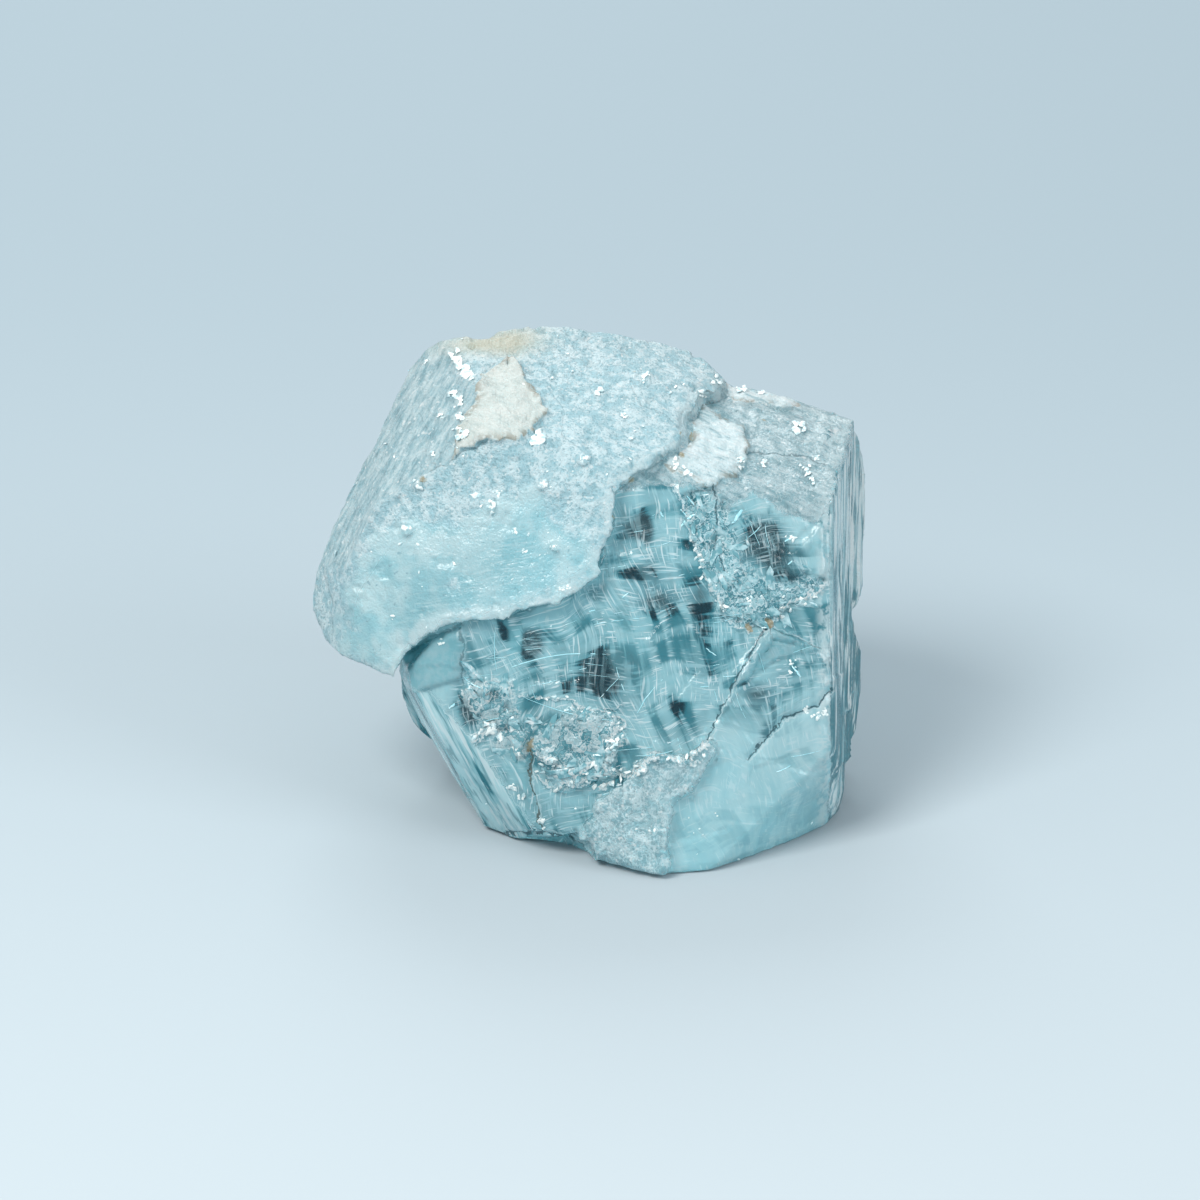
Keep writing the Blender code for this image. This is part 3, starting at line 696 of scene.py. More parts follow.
        return {
            Field.CAP: cap,
            Field.FLAKE: np.maximum(flake, inside(SURFACES.top_ridge)),
            Field.PLATE: inside(SURFACES.lower_plate),
            Field.CRINKLE: np.maximum(inside(SURFACES.crinkled), inside(SURFACES.shattered)),
            Field.SCALY: inside(SURFACES.scaly),
            Field.TOP: inside(SURFACES.top_face),
            Field.BEVEL: inside(SURFACES.left_bevel),
            Field.SIDE: np.where(front > 0.5, sideways, region["side"] * 2 - 1),
            Field.PALE: np.maximum(inside(SURFACES.pale_patch), inside(SURFACES.wedge)),
            Field.RUST: rust * front + OUTSIDE * (1 - front),
            Field.CRACK: side,
            Field.CRACK_NEAR: near * front,
            Field.BROWN: brown,
            Field.RIDGE: ridge_side,
            Field.RIDGE_NEAR: ridge_near * front,
            Field.FRONT: front,
            Field.SMOOTH: region["smooth"],
            Field.FLANK: region["flank"] + (1 - front) * region["cap"],
            Field.POCKET: np.clip(pocket, 0, 1.2) * front,
            Field.CALM: calm * front,
            Field.COLUMN: column * front,
            Field.STAIN: np.clip(stain, 0, 1) * region["cap"] * front,
            Field.BACK: region["back"],
        }

    def build(self, material: bpy.types.Material) -> bpy.types.Object:
        """Makes the skin, dresses it and sets it in the CAD node's place.

        Args:
            material: the finish to wear.

        Returns:
            The skin's object.
        """
        skin = self.remeshed()
        mesh = skin.data
        places, normals = self.read(mesh)
        drawn = STONE.to_drawing(places)
        facing = STONE.directions(normals)
        region = self.regions(drawn, facing)
        ground = eased(places[:, 2] / MM, 0.05, 0.6)
        keep = np.clip(0.25 + 0.6 * region["cap"] - 0.2 * region["top_face"], 0, 1)
        places = self.softened(mesh, places, 1 - ground * (1 - keep), self.smooth_rounds)
        worn = SURFACES.worn_lip.share(drawn, 0.35) * region["front"]
        places = self.softened(mesh, places, 1 - worn, self.wearing_rounds)
        places = places + self.jags(drawn, region) * ground[:, None]
        places = places + normals * (self.relief(drawn, region) * ground * MM)[:, None]
        places[:, 2] = np.maximum(places[:, 2], 0.0)
        mesh.vertices.foreach_set("co", places.astype(np.float32).ravel())
        for name, values in self.fields(drawn, facing, region).items():
            layer = mesh.attributes.new(name.value, "FLOAT", "POINT")
            layer.data.foreach_set("value", values.astype(np.float32))
        mesh.shade_smooth()
        mesh.update()
        mesh.materials.append(material)
        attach(skin, "root")
        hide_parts(NODE)
        self.drawn = STONE.to_drawing(places)
        LOG.info("%s: %d faces", self.name, len(mesh.polygons))
        return skin


@dataclass
class FrontMap:
    """How near the skin's front comes at each place, on a grid over the front's plane."""

    near: Points
    cell: float = 0.2
    low: float = -15.0

    @classmethod
    def of(cls, drawn: Points, cell: float = 0.2, low: float = -15.0) -> "FrontMap":
        """Takes the nearest vertex in each grid cell, and fills a lone empty cell from its neighbours.

        Args:
            drawn: (N, 3) drawing points of the skin.
            cell: the grid's cell in millimetres.
            low: where the grid starts.

        Returns:
            The map.
        """
        size = int(-2 * low / cell)
        near = np.full((size, size), -99.0)
        i, j = (np.clip(((drawn[:, axis] - low) / cell).astype(int), 0, size - 1) for axis in (0, 1))
        np.maximum.at(near, (i, j), drawn[:, 2] - 0.02)
        around = np.max([np.roll(near, shift, axis) for shift in (-1, 1) for axis in (0, 1)], axis=0)
        return cls(np.where(near < -50, around, near), cell, low)

    def at(self, across: Points, rise: Points) -> Points:
        """The front's near at each place, blended between the four nearest cells' middles."""
        x = (np.asarray(across) - self.low) / self.cell - 0.5
        y = (np.asarray(rise) - self.low) / self.cell - 0.5
        i = np.clip(np.floor(x).astype(int), 0, len(self.near) - 2)
        j = np.clip(np.floor(y).astype(int), 0, len(self.near) - 2)
        s, t = x - i, y - j
        lower = self.near[i, j] * (1 - s) + self.near[i + 1, j] * s
        upper = self.near[i, j + 1] * (1 - s) + self.near[i + 1, j + 1] * s
        return lower * (1 - t) + upper * t

    @staticmethod
    def sound(near: Points, lowest: float = -3.4, steepest: float = 0.9) -> Points:
        """Which pieces lie wholly on the front, and not over its edge or a step in it."""
        flat = near.reshape(len(near), -1)
        return (flat.min(axis=1) > lowest) & (np.ptp(flat, axis=1) < steepest)


def closed_pieces(
    name: str, grid: Points, tips: Points, material: bpy.types.Material, smooth: bool = True
) -> bpy.types.Object:
    """Joins many small closed pieces to one mesh: each a tube of rings, ended in a tip at both ends.

    Args:
        name: the object's name.
        grid: (N, U, V, 3) drawing points, V round each of U rings.
        tips: (N, 2, 3) drawing points of the two tips.
        material: the finish to wear.
        smooth: whether light rounds the faces off.

    Returns:
        The object, riding in the stone.
    """
    count, rings, round_ = grid.shape[:3]
    points = np.concatenate([grid.reshape(count, -1, 3), tips], axis=1)
    points = points[STONE.to_row(points)[..., 2].min(axis=1) > 0.05 * MM]
    count = len(points)
    each = rings * round_ + 2
    i, j = np.meshgrid(np.arange(rings - 1), np.arange(round_), indexing="ij")
    here, there = i * round_ + j, i * round_ + (j + 1) % round_
    quads = np.stack([here, there, there + round_, here + round_], -1).reshape(-1, 4)
    j = np.arange(round_)
    last = (rings - 1) * round_
    start = np.stack([np.full(round_, each - 2), (j + 1) % round_, j], -1)
    end = np.stack([np.full(round_, each - 1), last + j, last + (j + 1) % round_], -1)
    shift = (np.arange(count) * each)[:, None, None]
    faces = (quads[None] + shift).reshape(-1, 4).tolist()
    faces += (np.concatenate([start, end])[None] + shift).reshape(-1, 3).tolist()
    mesh = bpy.data.meshes.new(name)
    mesh.from_pydata(STONE.to_row(points.reshape(-1, 3)), [], faces)
    work = bmesh.new()
    work.from_mesh(mesh)
    bmesh.ops.recalc_face_normals(work, faces=work.faces)
    work.to_mesh(mesh)
    work.free()
    if smooth:
        mesh.shade_smooth()
    mesh.materials.append(material)
    pieces = bpy.data.objects.new(name, mesh)
    bpy.context.scene.collection.objects.link(pieces)
    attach(pieces, "root")
    LOG.info("%s: %d pieces, %d faces", name, count, len(faces))
    return pieces


class VeilFamily(Enum):
    """The two ways that the stone's fracture veils run, as degrees up from level in the front's plane."""

    LEVEL = 9.0
    UPRIGHT = 107.0


@dataclass
class Blades:
    """Thin blades in or just under the front, lens-shaped in section and pointed at both ends."""

    name: str
    middle: Points
    angle: Points
    length: Points
    width: Points
    sunk: Points
    thickness: float = 0.05
    rings: int = 9
    sides: int = 6
    seed: int = 5

    def build(self, front: FrontMap, material: bpy.types.Material) -> bpy.types.Object:
        """Works out every blade's surface and joins them to one mesh.

        A point at u along and v round lies u half lengths along the blade, the half width times the root of
        1 - u squared times cos v beside it, and as near as the front there, less how far the blade is sunk,
        plus the half thickness times sin v. A slight bow, as 1 - u squared, bends it.

        Args:
            front: how near the skin's front comes.
            material: the blades' finish.

        Returns:
            The blades' object.
        """
        rng = np.random.default_rng(self.seed)
        u = np.linspace(-1, 1, self.rings + 2)[None, :, None]
        v = np.linspace(0, 2 * math.pi, self.sides, endpoint=False)[None, None, :]
        swell = np.sqrt(1 - u**2)
        length, width = self.length[:, None, None], self.width[:, None, None]
        bow = rng.normal(0, 0.04, len(self.length))[:, None, None] * length * (1 - u**2)
        jag = rng.normal(0, 0.12, (len(self.length), self.rings + 2, 1)) * width * swell
        along = u * length / 2 + 0 * v
        beside = width / 2 * swell * np.cos(v) + bow + jag
        cos, sin = (f(self.angle)[:, None, None] for f in (np.cos, np.sin))
        across = self.middle[:, 0, None, None] + along * cos - beside * sin
        rise = self.middle[:, 1, None, None] + along * sin + beside * cos
        tilt = rng.normal(0, 0.12, len(self.length))[:, None, None] * along * (self.sunk > 0.1)[:, None, None]
        middle_near = front.at(self.middle[:, 0], self.middle[:, 1])[:, None, None] + tilt
        draped = front.at(across, rise)
        near = np.where(self.sunk[:, None, None] > 0.1, np.minimum(middle_near, draped), draped)
        near = near - self.sunk[:, None, None] + self.thickness / 2 * swell * np.sin(v)
        grid = np.stack([across, rise, near], -1)[front.sound(draped, steepest=1.1)]
        return closed_pieces(self.name, grid[:, 1:-1], grid[:, [0, -1], 0, :], material)


@dataclass
class Chips:
    """Small crushed grains and thin scales on the front: flat faceted lumps with an uneven outline."""

    name: str
    middle: Points
    size: Points
    height: Points
    stretch: float = 1.3
    angle: float = 0.5
    turn_spread: float = 0.6
    lift: float = 0.0
    flatness: float = 1.0
    rings: int = 3
    sides: int = 7
    seed: int = 6

    def build(self, front: FrontMap, material: bpy.types.Material) -> bpy.types.Object:
        """Works out every chip's surface and joins them to one mesh.

        A point at u up and v round lies the half size times a power of cos u times an uneven reach from the
        chip's middle, and as near as the front there plus the height times sin u, roughened by noise. Where
        lift is set, the chip tips by a random slope, so that one of its edges stands up by about the lift.

        Args:
            front: how near the skin's front comes.
            material: the chips' finish.

        Returns:
            The chips' object.
        """
        rng = np.random.default_rng(self.seed)
        count = len(self.size)
        u = np.linspace(-math.pi / 2, math.pi / 2, self.rings + 2)[None, :, None]
        v = np.linspace(0, 2 * math.pi, self.sides, endpoint=False)[None, None, :]
        wide = np.maximum(np.cos(u), 0) ** self.flatness
        reach = self.size[:, None, None] / 2 * rng.uniform(0.5, 1.4, (count, 1, self.sides))
        rough = rng.uniform(0.55, 1.35, (count, self.rings + 2, self.sides))
        rough[:, [0, -1], :] = rough[:, [0, -1], :1]
        turn = self.angle + rng.normal(0, self.turn_spread, count)[:, None, None]
        along = reach * wide * np.cos(v) * self.stretch
        beside = reach * wide * np.sin(v) / self.stretch
        across = self.middle[:, 0, None, None] + along * np.cos(turn) - beside * np.sin(turn)
        rise = self.middle[:, 1, None, None] + along * np.sin(turn) + beside * np.cos(turn)
        draped = front.at(across, rise)
        slope = rng.normal(0, 1, (2, count, 1, 1)) * self.lift / self.size[:, None, None]
        near = draped + self.height[:, None, None] * np.sin(u) * rough + slope[0] * along + slope[1] * beside
        grid = np.stack([across, rise, near], -1)[front.sound(draped)]
        return closed_pieces(self.name, grid[:, 1:-1], grid[:, [0, -1], 0, :], material, smooth=False)


class Tree:
    """A material's or a group's nodes, with short calls for the kinds used here."""

    def __init__(self, tree: bpy.types.NodeTree) -> None:
        """Keeps the tree, to which the calls add nodes."""
        self.tree = tree

    def add(self, kind: str, **values: object) -> bpy.types.Node:
        """Adds a node and sets its properties and its inputs.

        Args:
            kind: the node's type name.
            values: properties by name, and inputs by name with _ in place of a space.

        Returns:
            The node.
        """
        node = self.tree.nodes.new(kind)
        for name, value in values.items():
            if hasattr(node, name):
                setattr(node, name, value)
            else:
                self.feed(node.inputs[name.replace("_", " ")], value)
        return node

    def feed(self, socket: bpy.types.NodeSocket, value: object) -> None:
        """Links an output to a socket, or sets a plain value on it."""
        if isinstance(value, bpy.types.NodeSocket):
            self.tree.links.new(value, socket)
        else:
            socket.default_value = value

    def maths(self, operation: str, *values: object, clamp: bool = False) -> bpy.types.NodeSocket:
        """One sum, product or the like of numbers or outputs."""
        node = self.tree.nodes.new("ShaderNodeMath")
        node.operation = operation
        node.use_clamp = clamp
        for socket, value in zip(node.inputs, values):
            self.feed(socket, value)
        return node.outputs[0]

    def times(self, *values: object) -> bpy.types.NodeSocket:
        """The product of two or more numbers or outputs."""
        product = values[0]
        for value in values[1:]:
            product = self.maths("MULTIPLY", product, value)
        return product

    def without(self, value: object, share: object) -> bpy.types.NodeSocket:
        """The value less as much of it as the share says."""
        return self.maths("MULTIPLY", value, self.maths("SUBTRACT", 1.0, share))

    def between(self, value: object, low: float, high: float, top: float = 1.0) -> bpy.types.NodeSocket:
        """0 at low, top at high, and smooth in between; low may be the larger."""
        node = self.add("ShaderNodeMapRange", interpolation_type="SMOOTHSTEP", clamp=True)
        self.feed(node.inputs["Value"], value)
        node.inputs["From Min"].default_value = min(low, high)
        node.inputs["From Max"].default_value = max(low, high)
        node.inputs["To Min"].default_value = 0.0 if low < high else top
        node.inputs["To Max"].default_value = top if low < high else 0.0
        return node.outputs["Result"]

    def blended(self, share: object, first: object, second: object) -> bpy.types.NodeSocket:
        """The first colour where share is 0 and the second where it is 1."""
        node = self.tree.nodes.new("ShaderNodeMix")
        node.data_type = "RGBA"
        self.feed(node.inputs["Factor"], share)
        self.feed(node.inputs[6], first if isinstance(first, bpy.types.NodeSocket) else (*first, 1.0))
        self.feed(node.inputs[7], second if isinstance(second, bpy.types.NodeSocket) else (*second, 1.0))
        return node.outputs[2]

    def noise(self, place: object, scale: float, detail: float = 2.0, rough: float = 0.55) -> bpy.types.NodeSocket:
        """Layered noise from 0 to 1 at a place given in millimetres, with scale features to the millimetre."""
        node = self.add("ShaderNodeTexNoise", Vector=place, Scale=scale, Detail=detail, Roughness=rough)
        return node.outputs["Fac"]

    def streak(
        self, place: object, degrees: float, length: float, width: float, detail: float = 1.0
    ) -> bpy.types.NodeSocket:
        """Noise from 0 to 1 in strokes of a length and width in millimetres, which rise by some degrees."""
        return self.noise(self.turned(place, degrees, (length, width * 4, width)), 1.0, detail, 0.6)

    def contour(self, value: object, level: float, half: float) -> bpy.types.NodeSocket:
        """1 where a value is just at a level, as a thin curve."""
        return self.between(self.maths("ABSOLUTE", self.maths("SUBTRACT", value, level)), half, half * 0.3)

    def attribute(self, name: Field) -> bpy.types.NodeSocket:
        """What the skin's vertices carry under a name."""
        return self.add("ShaderNodeAttribute", attribute_name=name.value).outputs["Fac"]

    def drawing(self) -> bpy.types.NodeSocket:
        """The drawing's millimetres at a point: x is across, -y is near and z is rise."""
        where = self.add("ShaderNodeTexCoord").outputs["Object"]
        drawn = self.add("ShaderNodeMapping", vector_type="TEXTURE", Vector=where)
        up = STONE.base_below_middle * STONE.scale * MM
        drawn.inputs["Location"].default_value = (0.0, -STONE.moved_forward * MM, up)
        drawn.inputs["Rotation"].default_value = (-STONE.lean, 0.0, 0.0)
        drawn.inputs["Scale"].default_value = (STONE.scale * MM,) * 3
        return drawn.outputs[0]

    def turned(self, place: object, degrees: float, size: tuple[float, float, float]) -> bpy.types.NodeSocket:
        """The place seen along a line that rises to the right by some degrees.

        Args:
            place: the drawing's millimetres.
            degrees: the line's rise.
            size: how long features get along the line, in near and across it.

        Returns:
            The turned and shrunk place.
        """
        mapped = self.add("ShaderNodeMapping", vector_type="TEXTURE", Vector=place)
        mapped.inputs["Rotation"].default_value = (0.0, -math.radians(degrees), 0.0)
        mapped.inputs["Scale"].default_value = size
        return mapped.outputs[0]

    def wandered(self, place: object, scale: float, reach: float, detail: float = 0.0) -> bpy.types.NodeSocket:
        """The place shifted by noise, up to about half of reach millimetres."""
        bend = self.add("ShaderNodeTexNoise", Vector=place, Scale=scale, Detail=detail)
        node = self.add("ShaderNodeVectorMath", operation="MULTIPLY_ADD")
        self.feed(node.inputs[0], bend.outputs["Color"])
        node.inputs[1].default_value = (reach,) * 3
        self.feed(node.inputs[2], place)
        return node.outputs[0]


def new_material(name: str) -> tuple[bpy.types.Material, Tree, bpy.types.Node]:
    """A new material, its nodes and its shader."""
    material = bpy.data.materials.new(name)
    material.use_nodes = True
    return material, Tree(material.node_tree), material.node_tree.nodes["Principled BSDF"]


@dataclass(frozen=True)
class Effects:
    """The effects that the finishes share, as shader groups that take a place in the drawing's millimetres."""

    veils: bpy.types.ShaderNodeTree
    etching: bpy.types.ShaderNodeTree
    shells: bpy.types.ShaderNodeTree

    @classmethod
    def build(cls) -> "Effects":
        """Makes the groups."""
        return cls(cls.crossing_veils(), cls.etched_grain(), cls.shell_scales())

    @staticmethod
    def group(name: str, outputs: tuple[str, ...]) -> tuple[bpy.types.ShaderNodeTree, Tree, bpy.types.NodeSocket]:
        """A new group with a Place input and some value outputs.

        Args:
            name: the group's name.
            outputs: the outputs' names.

        Returns:
            The group, its nodes and the place.
        """
        group = bpy.data.node_groups.new(name, "ShaderNodeTree")
        group.interface.new_socket("Place", in_out="INPUT", socket_type="NodeSocketVector")
        for output in outputs:
            group.interface.new_socket(output, in_out="OUTPUT", socket_type="NodeSocketFloat")
        tree = Tree(group)
        return group, tree, tree.add("NodeGroupInput").outputs["Place"]

    @classmethod
    def crossing_veils(cls) -> bpy.types.ShaderNodeTree:
        """Two crossing families of veils as broad soft bands, strokes, thin lines and the cells between.

        Each family is noise stretched along its lines at three widths: one family runs almost level and
        rises to the right, the other is almost upright and leans to the left. Slow noise curls the finer ones.
        """
        outputs = ("Veil", "Stroke", "Line", "Cell")
        group, tree, place = cls.group("crossing_veils", outputs)
        curled = tree.wandered(place, 0.8, 0.2)
        found = {name: [] for name in outputs}
        band = {family: tree.streak(place, family.value, 5.4, 0.95) for family in VeilFamily}
        for family, other in zip(VeilFamily, reversed(VeilFamily)):
            broad = band[family]
            stroke = tree.streak(curled, family.value + 2.0, 2.2, 0.19, 2.0)
            fine = tree.streak(curled, family.value - 3.0, 1.7, 0.085)
            patch = tree.between(band[other], 0.40, 0.56)
            found["Veil"].append(tree.between(broad, 0.44, 0.63))
            found["Stroke"].append(tree.times(tree.between(stroke, 0.51, 0.64), patch))
            found["Line"].append(tree.times(tree.between(fine, 0.59, 0.68), patch))
            found["Cell"].append(tree.between(tree.maths("MULTIPLY_ADD", stroke, 0.35, broad), 0.59, 0.72))
        out = tree.add("NodeGroupOutput")
        for name, pair in found.items():
            both = tree.maths("MAXIMUM", *pair)
            tree.feed(out.inputs[name], tree.maths("SUBTRACT", 1.0, both) if name == "Cell" else both)
        return group

    @classmethod
    def shell_scales(cls) -> bpy.types.ShaderNodeTree:
        """Curved shell-like scales: their bright crests, painted shade in the hollows beside them, and their height.
        """
        outputs = ("Crest", "HollowShade", "Height")
        group, tree, place = cls.group("shell_scales", outputs)
        large = tree.noise(place, 1.7, 2.0, 0.6)
        small = tree.noise(place, 3.8, 1.0, 0.6)
        small_crest = tree.times(tree.contour(small, 0.53, 0.03), 0.85)
        crest = tree.maths("MAXIMUM", tree.contour(large, 0.50, 0.026), small_crest)
        # painted shade: a dark curve beside each crest, where the scale's hollow lies in shade
        small_hollow_shade = tree.times(tree.contour(small, 0.47, 0.04), 0.8)
        hollow_shade = tree.maths("MAXIMUM", tree.contour(large, 0.44, 0.05), small_hollow_shade)
        height = tree.maths("MULTIPLY_ADD", tree.between(small, 0.45, 0.55), 0.5, tree.between(large, 0.46, 0.51))
        out = tree.add("NodeGroupOutput")
        for name, value in zip(outputs, (crest, hollow_shade, height)):
            tree.feed(out.inputs[name], value)
        return group

    @classmethod
    def etched_grain(cls) -> bpy.types.ShaderNodeTree:
        """Etched stone: a fine grain, mottled patches, hairline cracks, white flecks and small pits."""
        outputs = ("Grain", "Mottle", "Hairline", "Fleck", "Pit")
        group, tree, place = cls.group("etched_grain", outputs)
        grain = tree.noise(place, 7.0, 1.0, 0.65)
        mottle = tree.noise(place, 1.9, 3.0, 0.62)
        speck = tree.noise(place, 3.6, 1.0)
        hairline = tree.times(tree.contour(mottle, 0.49, 0.02), tree.between(speck, 0.42, 0.54))
        out = tree.add("NodeGroupOutput")
        flecks = (tree.between(speck, 0.66, 0.73), tree.between(speck, 0.31, 0.26))
        for name, value in zip(outputs, (grain, mottle, hairline, *flecks)):
            tree.feed(out.inputs[name], value)
        return group


@dataclass(frozen=True)
class BerylFinish:
    """Pale blue-green beryl: glassy on the broken front, frosted where etched, white on its plates."""

    effects: Effects
    teal: Colour = screen(86, 146, 156)
    clear: Colour = screen(134, 189, 197)
    veil: Colour = screen(178, 217, 223)
    bright: Colour = screen(230, 244, 246)
    pocket: Colour = screen(0, 44, 54)
    shade: Colour = screen(48, 120, 133)
    calm: Colour = screen(176, 219, 225)
    calm_pale: Colour = screen(200, 232, 236)
    etched_dark: Colour = screen(176, 209, 216)
    etched_pale: Colour = screen(222, 237, 239)
    smooth_dark: Colour = screen(166, 213, 220)
    smooth_pale: Colour = screen(210, 234, 236)
    flank_dark: Colour = screen(132, 170, 178)
    flank_pale: Colour = screen(212, 225, 225)
    white: Colour = screen(245, 247, 245)
    cream: Colour = screen(236, 232, 218)
    stain: Colour = screen(212, 204, 178)
    rust: Colour = screen(124, 96, 46)
    dark: Colour = screen(46, 82, 92)
    stripe: Colour = screen(78, 132, 143)
    side_dark: Colour = screen(158, 192, 198)
    side_pale: Colour = screen(228, 238, 239)
    frosted: Colour = screen(162, 198, 204)
    frosted_pale: Colour = screen(216, 231, 232)
    top_dark: Colour = screen(140, 172, 178)
    top_pale: Colour = screen(202, 217, 219)
    absorption: Colour = (0.15, 0.80, 0.86)
    density: float = 90.0
    transmission: float = 0.5
    ior: float = BERYL_IOR
    specular: float = 0.14

    def build(self) -> bpy.types.Material:
        """Makes the material: one colour for each kind of surface, laid over one another by their outlines."""
        material, tree, shader = new_material("beryl")
        at = {name: tree.attribute(name) for name in Field}
        place = tree.drawing()
        bent = tree.wandered(place, 0.32, 2.0)
        grain = tree.add("ShaderNodeGroup", node_tree=self.effects.etching, Place=place).outputs
        shells = tree.add("ShaderNodeGroup", node_tree=self.effects.shells, Place=place).outputs
        cloud = tree.noise(place, 0.6, 2.0)
        wobble = tree.maths("SUBTRACT", grain["Mottle"], 0.5)
        over = {}
        for name, reach in (
            (Field.CAP, 0.25), (Field.FLAKE, 0.45), (Field.PLATE, 0.5), (Field.CRINKLE, 1.4), (Field.SCALY, 1.6),
            (Field.TOP, 0.9), (Field.BEVEL, 0.5), (Field.SIDE, 0.35), (Field.PALE, 0.1), (Field.RUST, 0.6),
        ):
            depth = tree.maths("MULTIPLY_ADD", wobble, reach, at[name])
            soft = 0.05 if name in (Field.CAP, Field.FLAKE, Field.RUST, Field.SIDE) else 0.14
            over[name] = tree.between(depth, -soft, soft)
        broad, fine = self.streaks(tree, at, over, place, bent)
        body = self.window(tree, at, bent, cloud, broad)
        body = tree.blended(tree.times(over[Field.PALE], 0.8), body, self.pale(tree, grain))
        body = tree.blended(over[Field.BEVEL], body, self.bevel(tree, broad, fine))
        body = tree.blended(over[Field.TOP], body, self.top(tree, broad, grain, shells))
        open_gap = tree.between(at[Field.POCKET], 0.25, 0.8, 0.85)
        body = tree.blended(tree.without(over[Field.SCALY], open_gap), body, self.scales(tree, body, shells))
        body = tree.blended(tree.times(over[Field.CRINKLE], 0.75), body, self.crinkles(tree, body, shells))
        frosted = tree.maths("MAXIMUM", over[Field.PLATE], at[Field.BACK])
        body = tree.blended(frosted, body, self.plate(tree, grain, shells))
        rim = tree.times(tree.between(at[Field.SIDE], -0.75, -0.25), tree.between(grain["Mottle"], 0.40, 0.56))
        body = tree.blended(tree.times(rim, at[Field.FRONT], 0.75), body, self.frosted_pale)
        side = tree.maths("MAXIMUM", over[Field.SIDE], tree.times(at[Field.BACK], 0.45))
        body = tree.blended(tree.without(side, over[Field.CAP]), body, self.prism_side(tree, place, broad, fine))
        body = tree.blended(over[Field.CAP], body, self.cap(tree, at, (broad, fine), cloud, grain))
        body = tree.blended(over[Field.FLAKE], body, self.flakes(tree, at, place, broad, grain))
        body = self.ridges(tree, at, grain, body)
        body = self.cracks(tree, at, wobble, grain, body)
        body = tree.blended(over[Field.RUST], body, tree.blended(grain["Grain"], self.rust, self.stain))
        tree.feed(shader.inputs["Base Color"], body)
        frost = self.frost(tree, at, over)
        tree.feed(shader.inputs["Roughness"], tree.maths("MULTIPLY_ADD", frost, 0.42, 0.07))
        self.bump(tree, shader, at, over, grain, frost)
        shader.inputs["Transmission Weight"].default_value = self.transmission
        shader.inputs["IOR"].default_value = self.ior
        shader.inputs["Specular IOR Level"].default_value = self.specular
        absorption = tree.add("ShaderNodeVolumeAbsorption", Color=(*self.absorption, 1.0), Density=self.density)
        tree.feed(material.node_tree.nodes["Material Output"].inputs["Volume"], absorption.outputs[0])
        return material

    def streaks(
        self, tree: Tree, at: dict, over: dict, place: object, bent: object
    ) -> tuple[bpy.types.NodeSocket, bpy.types.NodeSocket]:
        """Broad and fine streaks, which run their own way on each kind of surface.

        Args:
            tree: the material's nodes.
            at: what the vertices carry.
            over: how far each kind of surface covers the place.
            place: the drawing's millimetres.
            bent: the same, shifted by slow noise.

        Returns:
            Two noises from 0 to 1.
        """
        broad = tree.turned(bent, 94.0, (4.0, 2.8, 0.7))
        fine = tree.turned(bent, VeilFamily.LEVEL.value, (2.0, 1.2, 0.3))
        for share, degrees, size, thin in (
            (over[Field.BEVEL], -62.0, (6.4, 1.8, 0.5), (3.0, 0.64, 0.16)),
            (tree.maths("MAXIMUM", over[Field.SIDE], at[Field.BACK]), 90.0, (6.0, 0.95, 0.95), (3.4, 0.22, 0.22)),
            (over[Field.CAP], 8.0, (3.0, 1.6, 0.4), (1.3, 0.44, 0.11)),
            (tree.between(at[Field.FLANK], 0.3, 0.5), 62.0, (1.0, 0.77, 0.18), (1.0, 0.5, 0.12)),
            (tree.maths("MAXIMUM", over[Field.TOP], over[Field.FLAKE]), -28.0, (2.1, 0.8, 0.29), (1.5, 0.6, 0.15)),
        ):
            broad = tree.blended(share, broad, tree.turned(place, degrees, size))
            fine = tree.blended(share, fine, tree.turned(place, degrees, thin))
        return tree.noise(broad, 1.0, 3.0, 0.65), tree.noise(fine, 1.0, 2.0, 0.6)

    def window(self, tree: Tree, at: dict, bent: object, cloud: object, broad: object) -> bpy.types.NodeSocket:
        """The glassy broken front: teal with dark gaps, and pale veils, strokes and bright lines over them."""
        veils = tree.add("ShaderNodeGroup", node_tree=self.effects.veils, Place=bent).outputs
        body = tree.blended(tree.between(cloud, 0.38, 0.62), self.teal, self.clear)
        body = tree.blended(tree.times(veils["Cell"], 0.68), body, self.shade)
        gap = tree.times(at[Field.POCKET], tree.maths("MULTIPLY_ADD", veils["Cell"], 0.8, 0.62))
        gap = tree.times(tree.between(gap, 0.16, 0.74), tree.without(1.0, tree.times(at[Field.COLUMN], 0.9)))
        body = tree.blended(tree.between(gap, 0.0, 0.55), body, self.shade)
        body = tree.blended(tree.between(gap, 0.35, 1.0), body, self.pocket)
        cover = tree.times(veils["Veil"], tree.without(0.55, tree.times(gap, 0.85)))
        body = tree.blended(cover, body, self.veil)
        body = tree.blended(tree.times(at[Field.COLUMN], 0.7), body, self.clear)
        calm = tree.blended(tree.between(broad, 0.36, 0.64), self.calm, self.calm_pale)
        calm = tree.blended(tree.times(veils["Cell"], 0.4), calm, self.clear)
        calm = tree.blended(tree.times(gap, 0.8), calm, self.shade)
        body = tree.blended(tree.times(at[Field.CALM], 0.85), body, calm)
        lively = tree.without(1.0, tree.maths("MAXIMUM", tree.times(at[Field.CALM], 0.5), tree.times(gap, 0.5)))
        body = tree.blended(tree.times(veils["Stroke"], lively, 0.70), body, self.veil)
        return tree.blended(tree.times(veils["Line"], lively, 0.85), body, self.bright)

    def pale(self, tree: Tree, grain: object) -> bpy.types.NodeSocket:
        """The smooth pale facets beside the window."""
        return tree.blended(tree.between(grain["Mottle"], 0.35, 0.65), self.clear, self.frosted)

